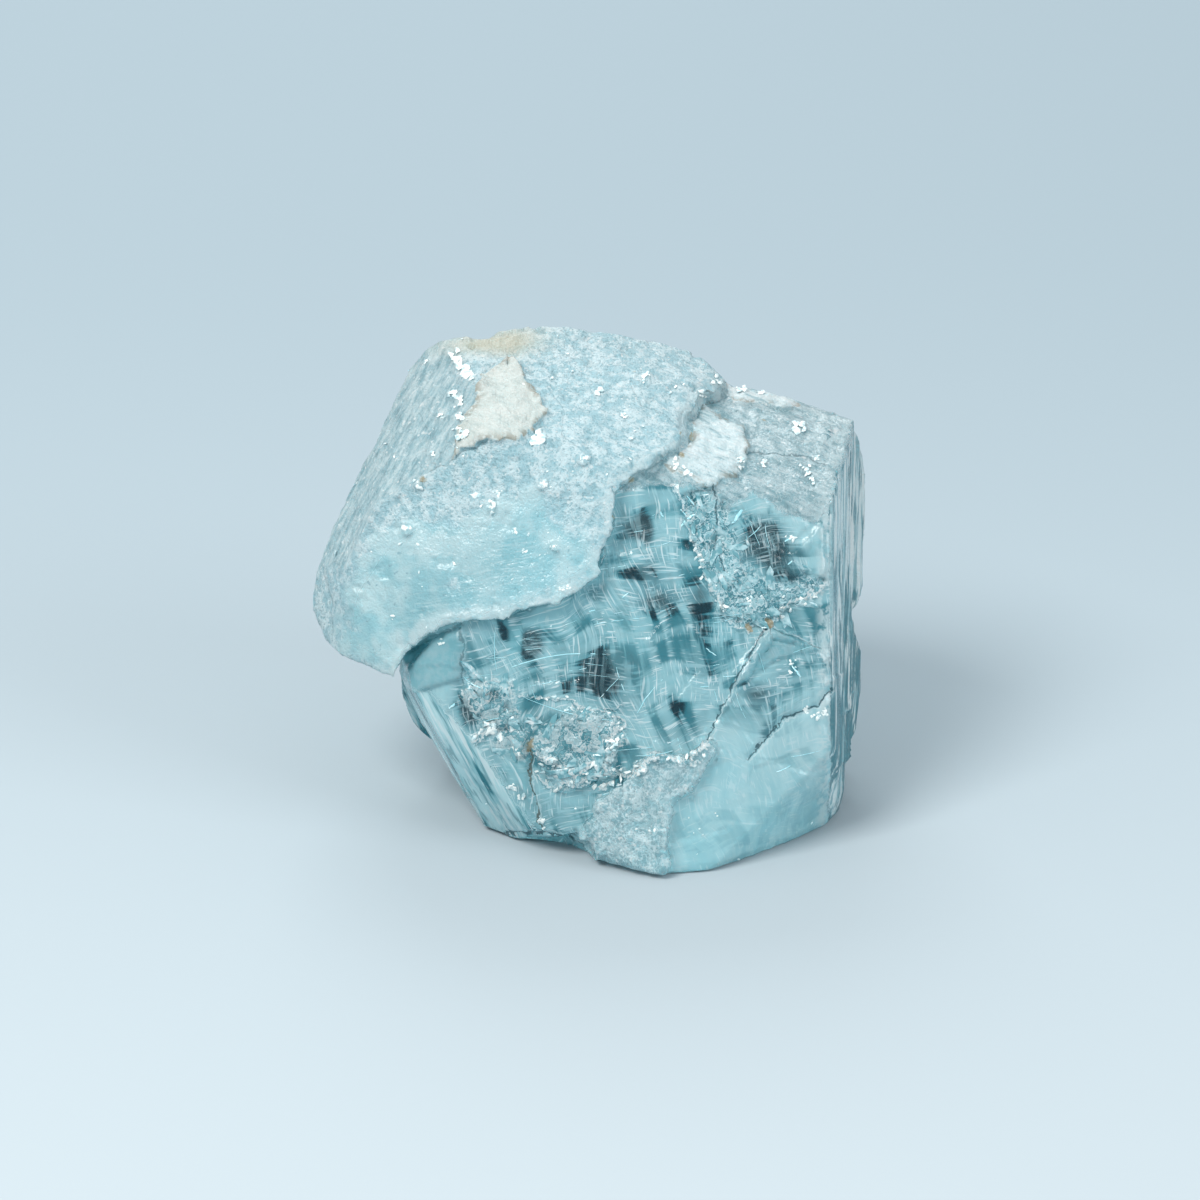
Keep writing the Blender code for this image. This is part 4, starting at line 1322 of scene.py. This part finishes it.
    def bevel(self, tree: Tree, broad: object, fine: object) -> bpy.types.NodeSocket:
        """The lower left bevel: streaks that run down to the right."""
        body = tree.blended(tree.between(broad, 0.40, 0.58), self.clear, self.calm_pale)
        body = tree.blended(tree.between(broad, 0.44, 0.36), body, self.shade)
        body = tree.blended(tree.between(fine, 0.55, 0.63, 0.8), body, self.bright)
        return tree.blended(tree.between(fine, 0.42, 0.36, 0.5), body, self.shade)

    def top(self, tree: Tree, broad: object, grain: object, shells: object) -> bpy.types.NodeSocket:
        """The greyish etched face at the upper right, with fine streaks that fall to the right."""
        body = tree.blended(tree.between(broad, 0.36, 0.64), self.top_dark, self.top_pale)
        # painted shade in the hollows beside the scale crests
        body = tree.blended(tree.times(shells["HollowShade"], 0.5), body, self.flank_dark)
        body = tree.blended(tree.times(shells["Crest"], 0.5), body, self.frosted_pale)
        body = tree.blended(tree.times(grain["Hairline"], 0.3), body, self.dark)
        return tree.blended(tree.times(grain["Fleck"], 0.8), body, self.white)

    def scales(self, tree: Tree, under: object, shells: object) -> bpy.types.NodeSocket:
        """Small curved glassy scales: bright crests and painted shade in their hollows, over what lies under them."""
        body = tree.blended(0.6, under, self.clear)
        body = tree.blended(tree.between(shells["Height"], 0.6, 1.4, 0.7), body, self.veil)
        # painted shade in the hollows beside the scale crests
        body = tree.blended(tree.times(shells["HollowShade"], 0.68), body, self.shade)
        return tree.blended(tree.times(shells["Crest"], 0.7), body, self.bright)

    def crinkles(self, tree: Tree, under: object, shells: object) -> bpy.types.NodeSocket:
        """Crumpled skin: pale grey-blue over the clear stone, with white folds and painted shade in the creases."""
        body = tree.blended(0.5, under, self.clear)
        body = tree.blended(tree.between(shells["Height"], 0.3, 1.3, 0.85), body, self.frosted_pale)
        # painted shade in the creases beside the white folds
        body = tree.blended(tree.times(shells["HollowShade"], 0.55), body, self.shade)
        return tree.blended(tree.times(shells["Crest"], 0.8), body, self.white)

    def plate(self, tree: Tree, grain: object, shells: object) -> bpy.types.NodeSocket:
        """A frosted plate: grey-blue, mottled, with white specks and faint cracks."""
        body = tree.blended(tree.between(grain["Mottle"], 0.38, 0.64), self.frosted, self.frosted_pale)
        body = tree.blended(tree.between(grain["Grain"], 0.50, 0.34, 0.5), body, self.flank_dark)
        body = tree.blended(tree.times(grain["Hairline"], 0.35), body, self.dark)
        # painted shade in the hollows beside the scale crests
        body = tree.blended(tree.times(shells["HollowShade"], 0.35), body, self.flank_dark)
        body = tree.blended(tree.times(shells["Crest"], 0.65), body, self.bright)
        return tree.blended(tree.times(grain["Fleck"], 0.85), body, self.white)

    def prism_side(self, tree: Tree, place: object, broad: object, fine: object) -> bpy.types.NodeSocket:
        """The prism's sides: upright stripes, broad and fine, from dark teal to white, darker low down."""
        rise = tree.add("ShaderNodeSeparateXYZ", Vector=place).outputs["Z"]
        low = tree.between(rise, 6.0, -6.0)
        body = tree.blended(tree.between(fine, 0.42, 0.54), self.side_dark, self.side_pale)
        shadow = tree.between(tree.maths("MULTIPLY_ADD", low, 0.10, tree.maths("SUBTRACT", 1.0, broad)), 0.52, 0.59)
        body = tree.blended(tree.times(shadow, 0.9), body, self.stripe)
        return tree.blended(tree.between(fine, 0.56, 0.62, 0.9), body, self.white)

    def cap(self, tree: Tree, at: dict, streaks: tuple, cloud: object, grain: object) -> bpy.types.NodeSocket:
        """The etched mass: mottled and crazed above, clearer below, streaked on its flank, with a pale rim."""
        broad, stroke = streaks
        body = tree.blended(tree.between(grain["Mottle"], 0.38, 0.60), self.etched_dark, self.etched_pale)
        fine = tree.between(grain["Grain"], 0.46, 0.32)
        body = tree.blended(tree.times(fine, 0.6), body, self.flank_dark)
        body = tree.blended(tree.times(grain["Hairline"], 0.6), body, self.flank_dark)
        clear = tree.blended(tree.between(cloud, 0.38, 0.62), self.smooth_dark, self.smooth_pale)
        clear = tree.blended(tree.between(stroke, 0.60, 0.68, 0.2), clear, self.bright)
        clear = tree.blended(tree.times(grain["Pit"], 0.6), clear, self.flank_dark)
        patchy = tree.maths("MULTIPLY_ADD", cloud, 2.2, -1.1)
        patchy = tree.between(tree.maths("ADD", patchy, at[Field.SMOOTH]), 0.30, 0.72)
        deep = tree.times(at[Field.POCKET], tree.between(at[Field.CAP], 0.5, 1.2))
        clear = tree.blended(tree.times(deep, 0.75), clear, self.clear)
        clear = tree.blended(tree.times(tree.between(stroke, 0.52, 0.60, 0.8), deep), clear, self.smooth_pale)
        patchy = tree.maths("MAXIMUM", patchy, tree.between(deep, 0.2, 0.7))
        body = tree.blended(tree.times(patchy, tree.between(at[Field.SMOOTH], 0.0, 0.25, 0.88)), body, clear)
        flank = tree.blended(tree.between(broad, 0.38, 0.62), self.flank_dark, self.flank_pale)
        flank = tree.blended(tree.between(broad, 0.40, 0.33, 0.5), flank, self.dark)
        body = tree.blended(tree.times(at[Field.FLANK], 0.6), body, flank)
        rim = tree.between(at[Field.CAP], 1.0, 0.1)
        body = tree.blended(tree.times(rim, tree.between(grain["Mottle"], 0.34, 0.56, 0.75)), body, self.frosted_pale)
        body = tree.blended(tree.times(grain["Fleck"], tree.without(0.8, at[Field.SMOOTH])), body, self.white)
        return tree.blended(tree.times(at[Field.STAIN], 0.85), body, self.stain)

    def flakes(self, tree: Tree, at: dict, place: object, broad: object, grain: object) -> bpy.types.NodeSocket:
        """The white plates: cream on the left one, silvery and fibrous on the right one, brown at their edges."""
        body = tree.blended(tree.between(broad, 0.42, 0.66, 0.8), self.frosted_pale, self.white)
        body = tree.blended(tree.between(broad, 0.43, 0.36, 0.6), body, self.flank_dark)
        parts = tree.add("ShaderNodeSeparateXYZ", Vector=place)
        left = tree.between(parts.outputs["X"], 1.0, -1.0)
        body = tree.blended(tree.times(left, 0.6), body, self.cream)
        edge = tree.times(tree.between(at[Field.FLAKE], 0.30, 0.0), tree.between(grain["Mottle"], 0.46, 0.58))
        return tree.blended(tree.times(edge, 0.55), body, self.rust)

    def ridges(self, tree: Tree, at: dict, grain: object, under: object) -> bpy.types.NodeSocket:
        """Ragged lines of crushed white stone, with painted shade along the edge below them."""
        ragged = tree.maths("MULTIPLY_ADD", tree.maths("SUBTRACT", grain["Mottle"], 0.5), 9.0, at[Field.RIDGE])
        ragged = tree.maths("MULTIPLY_ADD", tree.maths("SUBTRACT", grain["Grain"], 0.5), 3.0, ragged)
        # painted shade: a dark band just below each ridge, where its shadow falls
        dark = tree.between(tree.maths("ABSOLUTE", tree.maths("ADD", ragged, 1.6)), 0.9, 0.2)
        body = tree.blended(tree.times(dark, at[Field.RIDGE_NEAR], 0.6), under, self.shade)
        white = tree.between(tree.maths("ABSOLUTE", ragged), 1.1, 0.5)
        colour = tree.blended(tree.between(grain["Grain"], 0.40, 0.52), self.frosted, self.white)
        return tree.blended(tree.times(white, at[Field.RIDGE_NEAR], 0.95), body, colour)

    def cracks(
        self, tree: Tree, at: dict, wobble: object, grain: object, under: object
    ) -> bpy.types.NodeSocket:
        """Dark cracks, some of them brown, and the thin shadow under the etched mass's broken edge."""
        ragged = tree.maths("MULTIPLY_ADD", tree.maths("SUBTRACT", grain["Mottle"], 0.5), 8.0, at[Field.CRACK])
        ragged = tree.maths("MULTIPLY_ADD", wobble, 5.0, ragged)
        thick = tree.maths("MULTIPLY_ADD", grain["Mottle"], 3.0, -0.6)
        line = tree.maths("SUBTRACT", thick, tree.maths("ABSOLUTE", ragged))
        line = tree.times(tree.between(line, -0.4, 0.5), at[Field.CRACK_NEAR])
        glint = tree.maths("ABSOLUTE", tree.maths("SUBTRACT", ragged, 2.4))
        glint = tree.times(tree.between(glint, 1.1, 0.3, 0.5), at[Field.CRACK_NEAR])
        body = tree.blended(glint, under, self.bright)
        colour = tree.blended(tree.times(at[Field.BROWN], 0.6), self.dark, self.rust)
        body = tree.blended(tree.times(line, 0.85), body, colour)
        lip = tree.maths("MULTIPLY_ADD", wobble, 0.25, at[Field.CAP])
        under_lip = tree.times(tree.between(lip, -0.14, -0.04), tree.between(lip, 0.02, -0.03))
        rise = tree.add("ShaderNodeSeparateXYZ", Vector=tree.drawing()).outputs["Z"]
        under_lip = tree.times(under_lip, tree.between(rise, 5.6, 4.6))
        return tree.blended(tree.times(under_lip, at[Field.FRONT], 0.35), body, self.dark)

    def frost(self, tree: Tree, at: dict, over: dict) -> bpy.types.NodeSocket:
        """How frosted the surface is, from 0 (glassy) to 1."""
        frost = tree.without(over[Field.CAP], tree.times(at[Field.SMOOTH], 0.62))
        for name, share in (
            (Field.FLAKE, 0.8), (Field.PLATE, 0.8), (Field.CRINKLE, 0.35), (Field.SCALY, 0.3), (Field.TOP, 0.6),
            (Field.SIDE, 0.45),
        ):
            frost = tree.maths("MAXIMUM", frost, tree.times(over[name], share))
        return tree.maths("MAXIMUM", frost, tree.times(at[Field.BACK], 0.6))

    def bump(
        self, tree: Tree, shader: bpy.types.Node, at: dict, over: dict, grain: object, frost: object
    ) -> None:
        """Fine relief of grain: strong where frosted or broken, and weak where glassy and calm."""
        height = tree.maths("MULTIPLY_ADD", grain["Mottle"], 1.6, grain["Grain"])
        shelled = tree.maths("MAXIMUM", over[Field.SCALY], over[Field.CRINKLE])
        strength = tree.maths("MAXIMUM", tree.maths("MULTIPLY_ADD", frost, 0.65, 0.25), tree.times(shelled, 0.7))
        strength = tree.without(strength, tree.times(at[Field.CALM], 0.5))
        bump = tree.add("ShaderNodeBump", Height=height, Strength=strength, Distance=BUMP_HEIGHT)
        tree.feed(shader.inputs["Normal"], bump.outputs[0])


@dataclass(frozen=True)
class VeilFinish:
    """The bright skin of a fracture, dimmer here and there along its own finer veils."""

    effects: Effects
    name: str = "veil"
    colour: Colour = screen(204, 236, 241)
    dim: Colour = screen(150, 204, 213)
    roughness: float = 0.28

    def build(self) -> bpy.types.Material:
        """Makes the material."""
        material, tree, shader = new_material(self.name)
        veil = tree.add("ShaderNodeGroup", node_tree=self.effects.veils, Place=tree.drawing()).outputs["Stroke"]
        tree.feed(shader.inputs["Base Color"], tree.blended(veil, self.dim, self.colour))
        shader.inputs["Roughness"].default_value = self.roughness
        return material


@dataclass(frozen=True)
class ChipFinish:
    """White crushed stone, sugary, with a little of the stone's colour."""

    name: str = "white_chip"
    white: Colour = screen(222, 228, 225)
    shade: Colour = screen(170, 196, 200)
    roughness: float = 0.55

    def build(self) -> bpy.types.Material:
        """Makes the material."""
        material, tree, shader = new_material(self.name)
        grain = tree.noise(tree.drawing(), 4.0)
        tree.feed(shader.inputs["Base Color"], tree.blended(tree.between(grain, 0.52, 0.38), self.white, self.shade))
        bump = tree.add("ShaderNodeBump", Height=grain, Strength=0.6, Distance=BUMP_HEIGHT)
        tree.feed(shader.inputs["Normal"], bump.outputs[0])
        shader.inputs["Roughness"].default_value = self.roughness
        return material


@dataclass(frozen=True)
class ScaleFinish:
    """Thin clear scales: glassy, from the stone's teal to nearly white."""

    name: str = "clear_scale"
    deep: Colour = screen(120, 180, 190)
    pale: Colour = screen(190, 226, 232)
    white: Colour = screen(238, 248, 249)
    roughness: float = 0.10
    transmission: float = 0.45

    def build(self) -> bpy.types.Material:
        """Makes the material."""
        material, tree, shader = new_material(self.name)
        mottle = tree.noise(tree.drawing(), 2.7)
        body = tree.blended(tree.between(mottle, 0.42, 0.60), self.deep, self.pale)
        tree.feed(shader.inputs["Base Color"], tree.blended(tree.between(mottle, 0.62, 0.70), body, self.white))
        shader.inputs["Roughness"].default_value = self.roughness
        shader.inputs["Transmission Weight"].default_value = self.transmission
        shader.inputs["IOR"].default_value = BERYL_IOR
        return material


@dataclass
class FractureVeils:
    """The bright veils in and under the glassy front: marked ones and two strewn families."""

    marked: tuple[tuple[float, float, float, float, float], ...] = (
        (2.96, 4.39, 3.87, 3.19, 0.13), (4.83, 3.94, 4.05, 3.25, 0.16), (3.62, 3.14, 3.78, 2.62, 0.10),
        (4.41, 4.75, 4.77, 4.30, 0.10), (3.98, 4.22, 4.41, 3.80, 0.07), (-0.24, -0.59, 0.52, -0.40, 0.12),
        (1.07, -0.15, 1.79, 0.35, 0.08), (2.15, -0.67, 4.31, -0.25, 0.05), (3.59, 0.92, 5.04, 1.32, 0.05),
        (-3.96, -3.23, 0.94, -2.53, 0.09), (0.24, -4.74, 1.37, -3.52, 0.05), (-3.26, -4.37, 1.51, -5.55, 0.05),
        (1.09, -2.53, 1.65, -4.37, 0.05), (2.07, -5.40, 3.45, -3.52, 0.07), (-6.63, -5.11, -6.00, -4.60, 0.16),
        (-5.85, -3.50, -4.90, -4.10, 0.07), (9.15, -2.90, 9.66, -3.60, 0.14), (5.25, -2.15, 5.80, -2.57, 0.09),
        (6.00, -3.50, 6.70, -3.47, 0.07), (8.50, -7.90, 9.20, -7.60, 0.09), (9.16, -7.20, 10.6, -6.90, 0.05),
        (4.96, -4.00, 5.60, -3.95, 0.06), (0.40, -2.35, 2.20, -2.10, 0.06), (0.10, 1.35, 2.40, 1.75, 0.04),
        (1.30, 2.95, 2.90, 3.20, 0.05), (-0.10, -1.20, 2.90, -0.85, 0.05), (6.95, 2.70, 7.85, 3.45, 0.06),
        (8.75, 2.59, 9.27, 2.84, 0.16), (6.43, 3.44, 7.03, 4.32, 0.22), (9.00, 1.56, 9.27, 1.81, 0.12),
        (-4.30, -1.10, -4.25, -3.40, 0.04), (-0.40, -2.90, 0.90, -3.05, 0.03),
        (-0.20, -3.40, 1.00, -3.55, 0.03), (-3.10, -2.30, -2.10, -2.20, 0.04), (-3.10, -1.75, -2.20, -1.85, 0.03),
        (7.30, 3.55, 7.90, 2.20, 0.04), (8.00, 3.60, 8.25, 2.30, 0.04), (5.60, -1.05, 6.60, -0.80, 0.05),
    )  # both ends (across, rise) and the width of each
    window_across: Spot = (-5.6, 10.2)
    window_rise: Spot = (-7.4, 4.6)
    strewn_shallow: int = 44
    strewn_deep: int = 420
    seed: int = 4

    def marked_blades(self) -> Blades:
        """The veils that stand out one by one."""
        lines = np.array(self.marked)
        gap = lines[:, 2:4] - lines[:, 0:2]
        middle = (lines[:, 0:2] + lines[:, 2:4]) / 2
        sunk = np.full(len(lines), 0.005)
        angle = np.arctan2(gap[:, 1], gap[:, 0])
        return Blades("marked_veils", middle, angle, np.hypot(*gap.T), lines[:, 4] * 0.75, sunk)

    def strewn_blades(self, family: VeilFamily, deep: bool) -> Blades:
        """Blades strewn over the window along one family's direction, within a few degrees.

        Args:
            family: the way they run.
            deep: whether they lie inside the stone or just under its surface.

        Returns:
            The blades.
        """
        rng = np.random.default_rng(self.seed + int(family.value) + 31 * deep)
        count = self.strewn_deep if deep else self.strewn_shallow
        place = np.stack([rng.uniform(*self.window_across, count), rng.uniform(*self.window_rise, count)], -1)
        length = rng.uniform(0.5, 2.6, count)
        at = np.column_stack([place, np.zeros(count)])
        margin = length / 2 + 0.2
        kept = (-SURFACES.cap.depth(at) > margin * 0.6) & (-SURFACES.left_bevel.depth(at) > margin * 0.7)
        kept &= (-SURFACES.top_face.depth(at) > margin * 0.4) & (-SURFACES.lower_plate.depth(at) > 0.2)
        kept &= (-SURFACES.column.depth(at) > 0.2) & (-SURFACES.crinkled.depth(at) > 0.2)
        kept &= (place[:, 0] < 10.5 - margin) & (Lattice(41).layered(at, 1.6, 2) > -0.15)
        count = int(kept.sum())
        angle = np.radians(family.value + rng.normal(0, 4.0, count))
        width = rng.uniform(0.015, 0.038, count) * (3.4 if deep else 1.0)
        sunk = rng.uniform(0.25, 1.1, count) if deep else np.full(count, 0.012)
        name = family.name.lower() + ("_deep_veils" if deep else "_veils")
        return Blades(name, place[kept], angle, length[kept], width, sunk)

    def build(self, front: FrontMap, material: bpy.types.Material) -> None:
        """Makes the marked veils and the strewn ones."""
        self.marked_blades().build(front, material)
        for family in VeilFamily:
            for deep in (False, True):
                self.strewn_blades(family, deep).build(front, material)


@dataclass
class WhiteGrains:
    """The white grains and crushed chips that sit on the front."""

    marked: tuple[tuple[float, float, float], ...] = (
        (-6.2, 11.2, 0.50), (-5.7, 10.4, 0.75), (-6.3, 9.5, 0.45), (-5.9, 9.1, 0.35), (-6.0, 8.5, 0.55),
        (-6.9, 8.5, 0.30), (-5.9, 7.5, 0.55), (-7.2, 6.6, 0.30), (-7.9, 5.3, 0.35), (-2.4, 7.4, 0.75),
        (-4.5, 4.2, 0.40), (-2.2, 5.2, 0.40), (-4.2, 4.9, 0.45), (-5.2, 4.7, 0.45), (-0.3, 6.4, 0.40),
        (-8.4, 3.2, 0.40), (-1.6, 2.4, 0.35), (0.4, 9.6, 0.40), (2.6, 10.4, 0.35), (9.6, 8.0, 0.55),
        (-4.6, -5.9, 0.55), (-4.2, -6.3, 0.40), (-3.6, -5.8, 0.30), (-3.4, -6.9, 0.32), (-3.6, -8.6, 0.40),
        (-3.2, -9.0, 0.32), (-2.2, -10.2, 0.36), (9.8, -5.1, 0.36), (10.3, -5.3, 0.34), (10.7, -5.2, 0.28),
        (9.3, -2.9, 0.28), (9.2, -3.3, 0.22), (9.9, 6.0, 0.36), (10.3, 5.5, 0.34), (10.4, 6.6, 0.30),
        (3.9, 6.2, 0.40), (4.4, 5.9, 0.35), (9.2, 2.8, 0.30), (6.9, 6.3, 0.35), (8.0, 6.3, 0.35),
        (-3.5, 3.1, 0.30), (-3.0, 2.2, 0.25), (-1.0, 0.6, 0.30), (-6.9, -2.0, 0.25), (1.5, 8.6, 0.35),
        (5.2, 9.6, 0.35), (6.0, 10.2, 0.40), (7.0, 10.0, 0.45), (8.0, 9.8, 0.35), (7.2, 0.0, 0.20),
    )  # across, rise and size of each
    grains_in_cluster: int = 7
    strewn_on_cap: int = 170
    strewn_below: int = 60
    crumbs_per_mm: float = 3.6
    crumb_spread: float = 1.6  # in half widths of the ridge, as are the sizes
    crumb_sizes: Spot = (0.6, 2.6)
    seed: int = 8

    def marked_chips(self) -> Chips:
        """The grains that stand out one by one."""
        rng = np.random.default_rng(self.seed + 1)
        listed = np.repeat(np.array(self.marked), self.grains_in_cluster, axis=0)
        middle = listed[:, :2] + rng.normal(0, 0.30, (len(listed), 2)) * listed[:, 2:3]
        size = listed[:, 2] * rng.uniform(0.2, 0.66, len(listed))
        return Chips("white_grains", middle, size, 0.012 + 0.12 * size, stretch=1.15, sides=7, flatness=0.8)

    def strewn_chips(self, front: FrontMap) -> Chips:
        """Fine specks, thick where noise is high on the etched mass, and fewer over the plate and the scales."""
        rng = np.random.default_rng(self.seed)
        count = self.strewn_on_cap + self.strewn_below
        place = np.stack([rng.uniform(-12.2, 11.0, count), rng.uniform(-12.0, 12.4, count)], -1)
        at = np.column_stack([place, np.zeros(count)])
        cap = SURFACES.cap.depth(at) > 0.2
        below = (SURFACES.scaly.depth(at) > 0) | (SURFACES.lower_plate.depth(at) > 0) | (place[:, 1] < -9.4)
        kept = (cap & (Lattice(51).layered(at, 1.8, 3) > 0.02)) | (below & ~cap)
        kept &= front.at(place[:, 0], place[:, 1]) > -3.0
        size = rng.uniform(0.06, 0.19, count)[kept]
        return Chips("white_specks", place[kept], size, 0.015 + 0.18 * size, sides=6)

    def ridge_chips(self) -> Chips:
        """Crumbs along the ridges, as many to the millimetre as crumbs_per_mm, wider strewn on wider ridges."""
        rng = np.random.default_rng(self.seed + 2)
        places, sizes = [], []
        for ridge in SURFACES.ridges:
            line = np.array(ridge.points)
            run = np.concatenate([[0.0], np.cumsum(np.hypot(*np.diff(line, axis=0).T))])
            at = rng.uniform(0, run[-1], int(run[-1] * self.crumbs_per_mm * ridge.strength))
            place = np.stack([np.interp(at, run, line[:, 0]), np.interp(at, run, line[:, 1])], -1)
            places.append(place + rng.normal(0, ridge.half_width * self.crumb_spread, place.shape))
            sizes.append(rng.uniform(*self.crumb_sizes, len(at)) * ridge.half_width)
        size = np.concatenate(sizes)
        return Chips(
            "ridge_crumbs", np.concatenate(places), size, 0.02 + 0.16 * size, sides=6, flatness=0.7, lift=0.02
        )

    def build(self, front: FrontMap, material: bpy.types.Material) -> None:
        """Makes the grains, the specks and the crumbs."""
        self.marked_chips().build(front, material)
        self.strewn_chips(front).build(front, material)
        self.ridge_chips().build(front, material)


@dataclass(frozen=True)
class ScalePatch:
    """One area that thin scales cover."""

    name: str
    outline: Outline
    count: int
    smallest: float
    largest: float
    lift: float
    degrees: float


@dataclass
class Scales:
    """Thin clear scales that broke loose along their edges, over the shattered parts of the front."""

    patches: tuple[ScalePatch, ...] = (
        ScalePatch("scaly_front", SURFACES.scaly, 56, 0.22, 0.75, 0.07, -55.0),
        ScalePatch("crinkled_front", SURFACES.crinkled, 14, 0.30, 0.90, 0.08, 35.0),
        ScalePatch("shattered_left", SURFACES.shattered, 20, 0.25, 0.75, 0.09, -40.0),
    )
    seed: int = 12

    def chips(self, patch: ScalePatch) -> Chips:
        """The scales of one area, strewn at random inside its outline."""
        rng = np.random.default_rng(self.seed + len(patch.name))
        box = np.array(patch.outline.corners)
        low, high = box.min(axis=0), box.max(axis=0)
        place = rng.uniform(low - 0.4, high + 0.4, (patch.count * 2, 2))
        depth = patch.outline.depth(np.column_stack([place, np.zeros(len(place))]))
        inside = depth > rng.uniform(-0.5, 0.6, len(place))
        place = place[inside][: patch.count]
        size = rng.uniform(patch.smallest, patch.largest, len(place))
        height = np.full(len(place), 0.022)
        return Chips(
            patch.name, place, size, height, stretch=1.75, angle=math.radians(patch.degrees), turn_spread=0.5,
            lift=patch.lift, flatness=0.35, sides=8, seed=self.seed,
        )

    def build(self, front: FrontMap, material: bpy.types.Material) -> None:
        """Makes every area's scales."""
        for patch in self.patches:
            self.chips(patch).build(front, material)


@dataclass
class Studio:
    """A pale seamless floor, soft lamps and the camera."""

    elevation: float = math.radians(25.0)
    frame_mm: float = 61.95
    lens_mm: float = 200.0
    sensor_mm: float = 36.0
    outline_middle_mm: float = 8.93
    aside_mm: float = 0.49
    lowered_mm: float = -0.13
    floor_half_mm: float = 900.0
    floor_gap_mm: float = 0.02
    fade_mm: float = 80.0
    # the floor's colour near and far; the darker far colour is painted fall-off of light
    floor_near: Colour = (0.43, 0.48, 0.505)
    floor_far: Colour = (0.315, 0.38, 0.415)
    sky_colour: Colour = (0.86, 0.94, 1.0)
    sky_strength: float = 0.75

    def floor(self) -> bpy.types.Object:
        """A wide flat sheet just under the stone, as a grid of x and y with z constant, with painted shade that
        darkens it far away.
        """
        half = self.floor_half_mm * MM
        steps = 8
        x, y = np.meshgrid(*[np.linspace(-half, half, steps + 1)] * 2, indexing="ij")
        places = np.stack([x.ravel(), y.ravel(), np.full(x.size, -self.floor_gap_mm * MM)], -1)
        i, j = np.meshgrid(np.arange(steps), np.arange(steps), indexing="ij")
        corner = (i * (steps + 1) + j).ravel()
        faces = np.stack([corner, corner + steps + 1, corner + steps + 2, corner + 1], -1)
        mesh = bpy.data.meshes.new("floor")
        mesh.from_pydata(places, [], faces.tolist())
        material, tree, shader = new_material("pale_paper")
        where = tree.add("ShaderNodeTexCoord").outputs["Object"]
        away = tree.add("ShaderNodeSeparateXYZ", Vector=where).outputs["Y"]
        # painted fall-off of light: the floor's colour darkens towards the back
        tone = tree.between(away, -self.fade_mm * MM, self.fade_mm * MM)
        tree.feed(shader.inputs["Base Color"], tree.blended(tone, self.floor_near, self.floor_far))
        shader.inputs["Roughness"].default_value = 0.9
        shader.inputs["Specular IOR Level"].default_value = 0.1
        mesh.materials.append(material)
        sheet = bpy.data.objects.new("floor", mesh)
        bpy.context.scene.collection.objects.link(sheet)
        sheet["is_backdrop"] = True
        return sheet

    def lamp(self, name: str, place_mm: Colour, size_mm: float, power: float, colour: Colour) -> None:
        """A square soft lamp that faces the stone.

        Args:
            name: the lamp's name.
            place_mm: where it hangs.
            size_mm: its side.
            power: in watts.
            colour: its light's colour.
        """
        light = bpy.data.lights.new(name, "AREA")
        light.shape = "SQUARE"
        light.size = size_mm * MM
        light.energy = power
        light.color = colour
        holder = bpy.data.objects.new(name, light)
        holder.location = Vector(place_mm) * MM
        aim = Vector((0.0, 0.0, 10.0 * MM)) - holder.location
        holder.rotation_euler = aim.to_track_quat("-Z", "Y").to_euler()
        bpy.context.scene.collection.objects.link(holder)

    def sky(self) -> None:
        """An even pale light from all round."""
        world = bpy.data.worlds.new("even_light")
        world.use_nodes = True
        background = world.node_tree.nodes["Background"]
        background.inputs["Color"].default_value = (*self.sky_colour, 1.0)
        background.inputs["Strength"].default_value = self.sky_strength
        bpy.context.scene.world = world

    def camera(self) -> None:
        """A long lens that looks along +Y and down, framing the stone as the picture does."""
        data = bpy.data.cameras.new("camera")
        data.lens = self.lens_mm
        data.sensor_width = self.sensor_mm
        distance = self.frame_mm * self.lens_mm / self.sensor_mm
        data.clip_start = 0.01
        data.clip_end = 10.0
        eye = bpy.data.objects.new("camera", data)
        back = Vector((0.0, -math.cos(self.elevation), math.sin(self.elevation)))
        up = Vector((0.0, math.sin(self.elevation), math.cos(self.elevation)))
        target = Vector((self.aside_mm, 0.0, 0.0)) + up * (self.outline_middle_mm + self.lowered_mm)
        eye.location = (target + back * distance) * MM
        eye.rotation_euler = (-back).to_track_quat("-Z", "Y").to_euler()
        bpy.context.scene.collection.objects.link(eye)
        bpy.context.scene.camera = eye

    def build(self) -> None:
        """Sets up the floor, the lamps, the sky and the camera, and shows plain colours."""
        bpy.context.scene.view_settings.view_transform = "Standard"
        self.floor()
        self.sky()
        self.lamp("key", (-160.0, -140.0, 280.0), 150.0, 1.08, (1.0, 0.99, 0.97))
        self.lamp("fill", (240.0, -120.0, 140.0), 160.0, 0.36, (0.94, 0.98, 1.0))
        self.lamp("back", (-40.0, 260.0, 220.0), 160.0, 0.45, (0.95, 0.99, 1.0))
        self.camera()
        LOG.info("studio: floor, three lamps and the camera")


def corners() -> list[list[float]]:
    """The object's box as plain lists."""
    return [[float(part) for part in corner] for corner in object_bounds()]


def main() -> None:
    """Builds the studio, the skin and what lies in and on it, in that order."""
    logging.basicConfig(level=logging.INFO, format="%(message)s")
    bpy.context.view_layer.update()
    Studio().build()
    effects = Effects.build()
    skin = Skin()
    skin.build(BerylFinish(effects).build())
    front = FrontMap.of(skin.drawn)
    FractureVeils().build(front, VeilFinish(effects).build())
    Scales().build(front, ScaleFinish().build())
    WhiteGrains().build(front, ChipFinish().build())


if __name__ == "__main__":
    main()
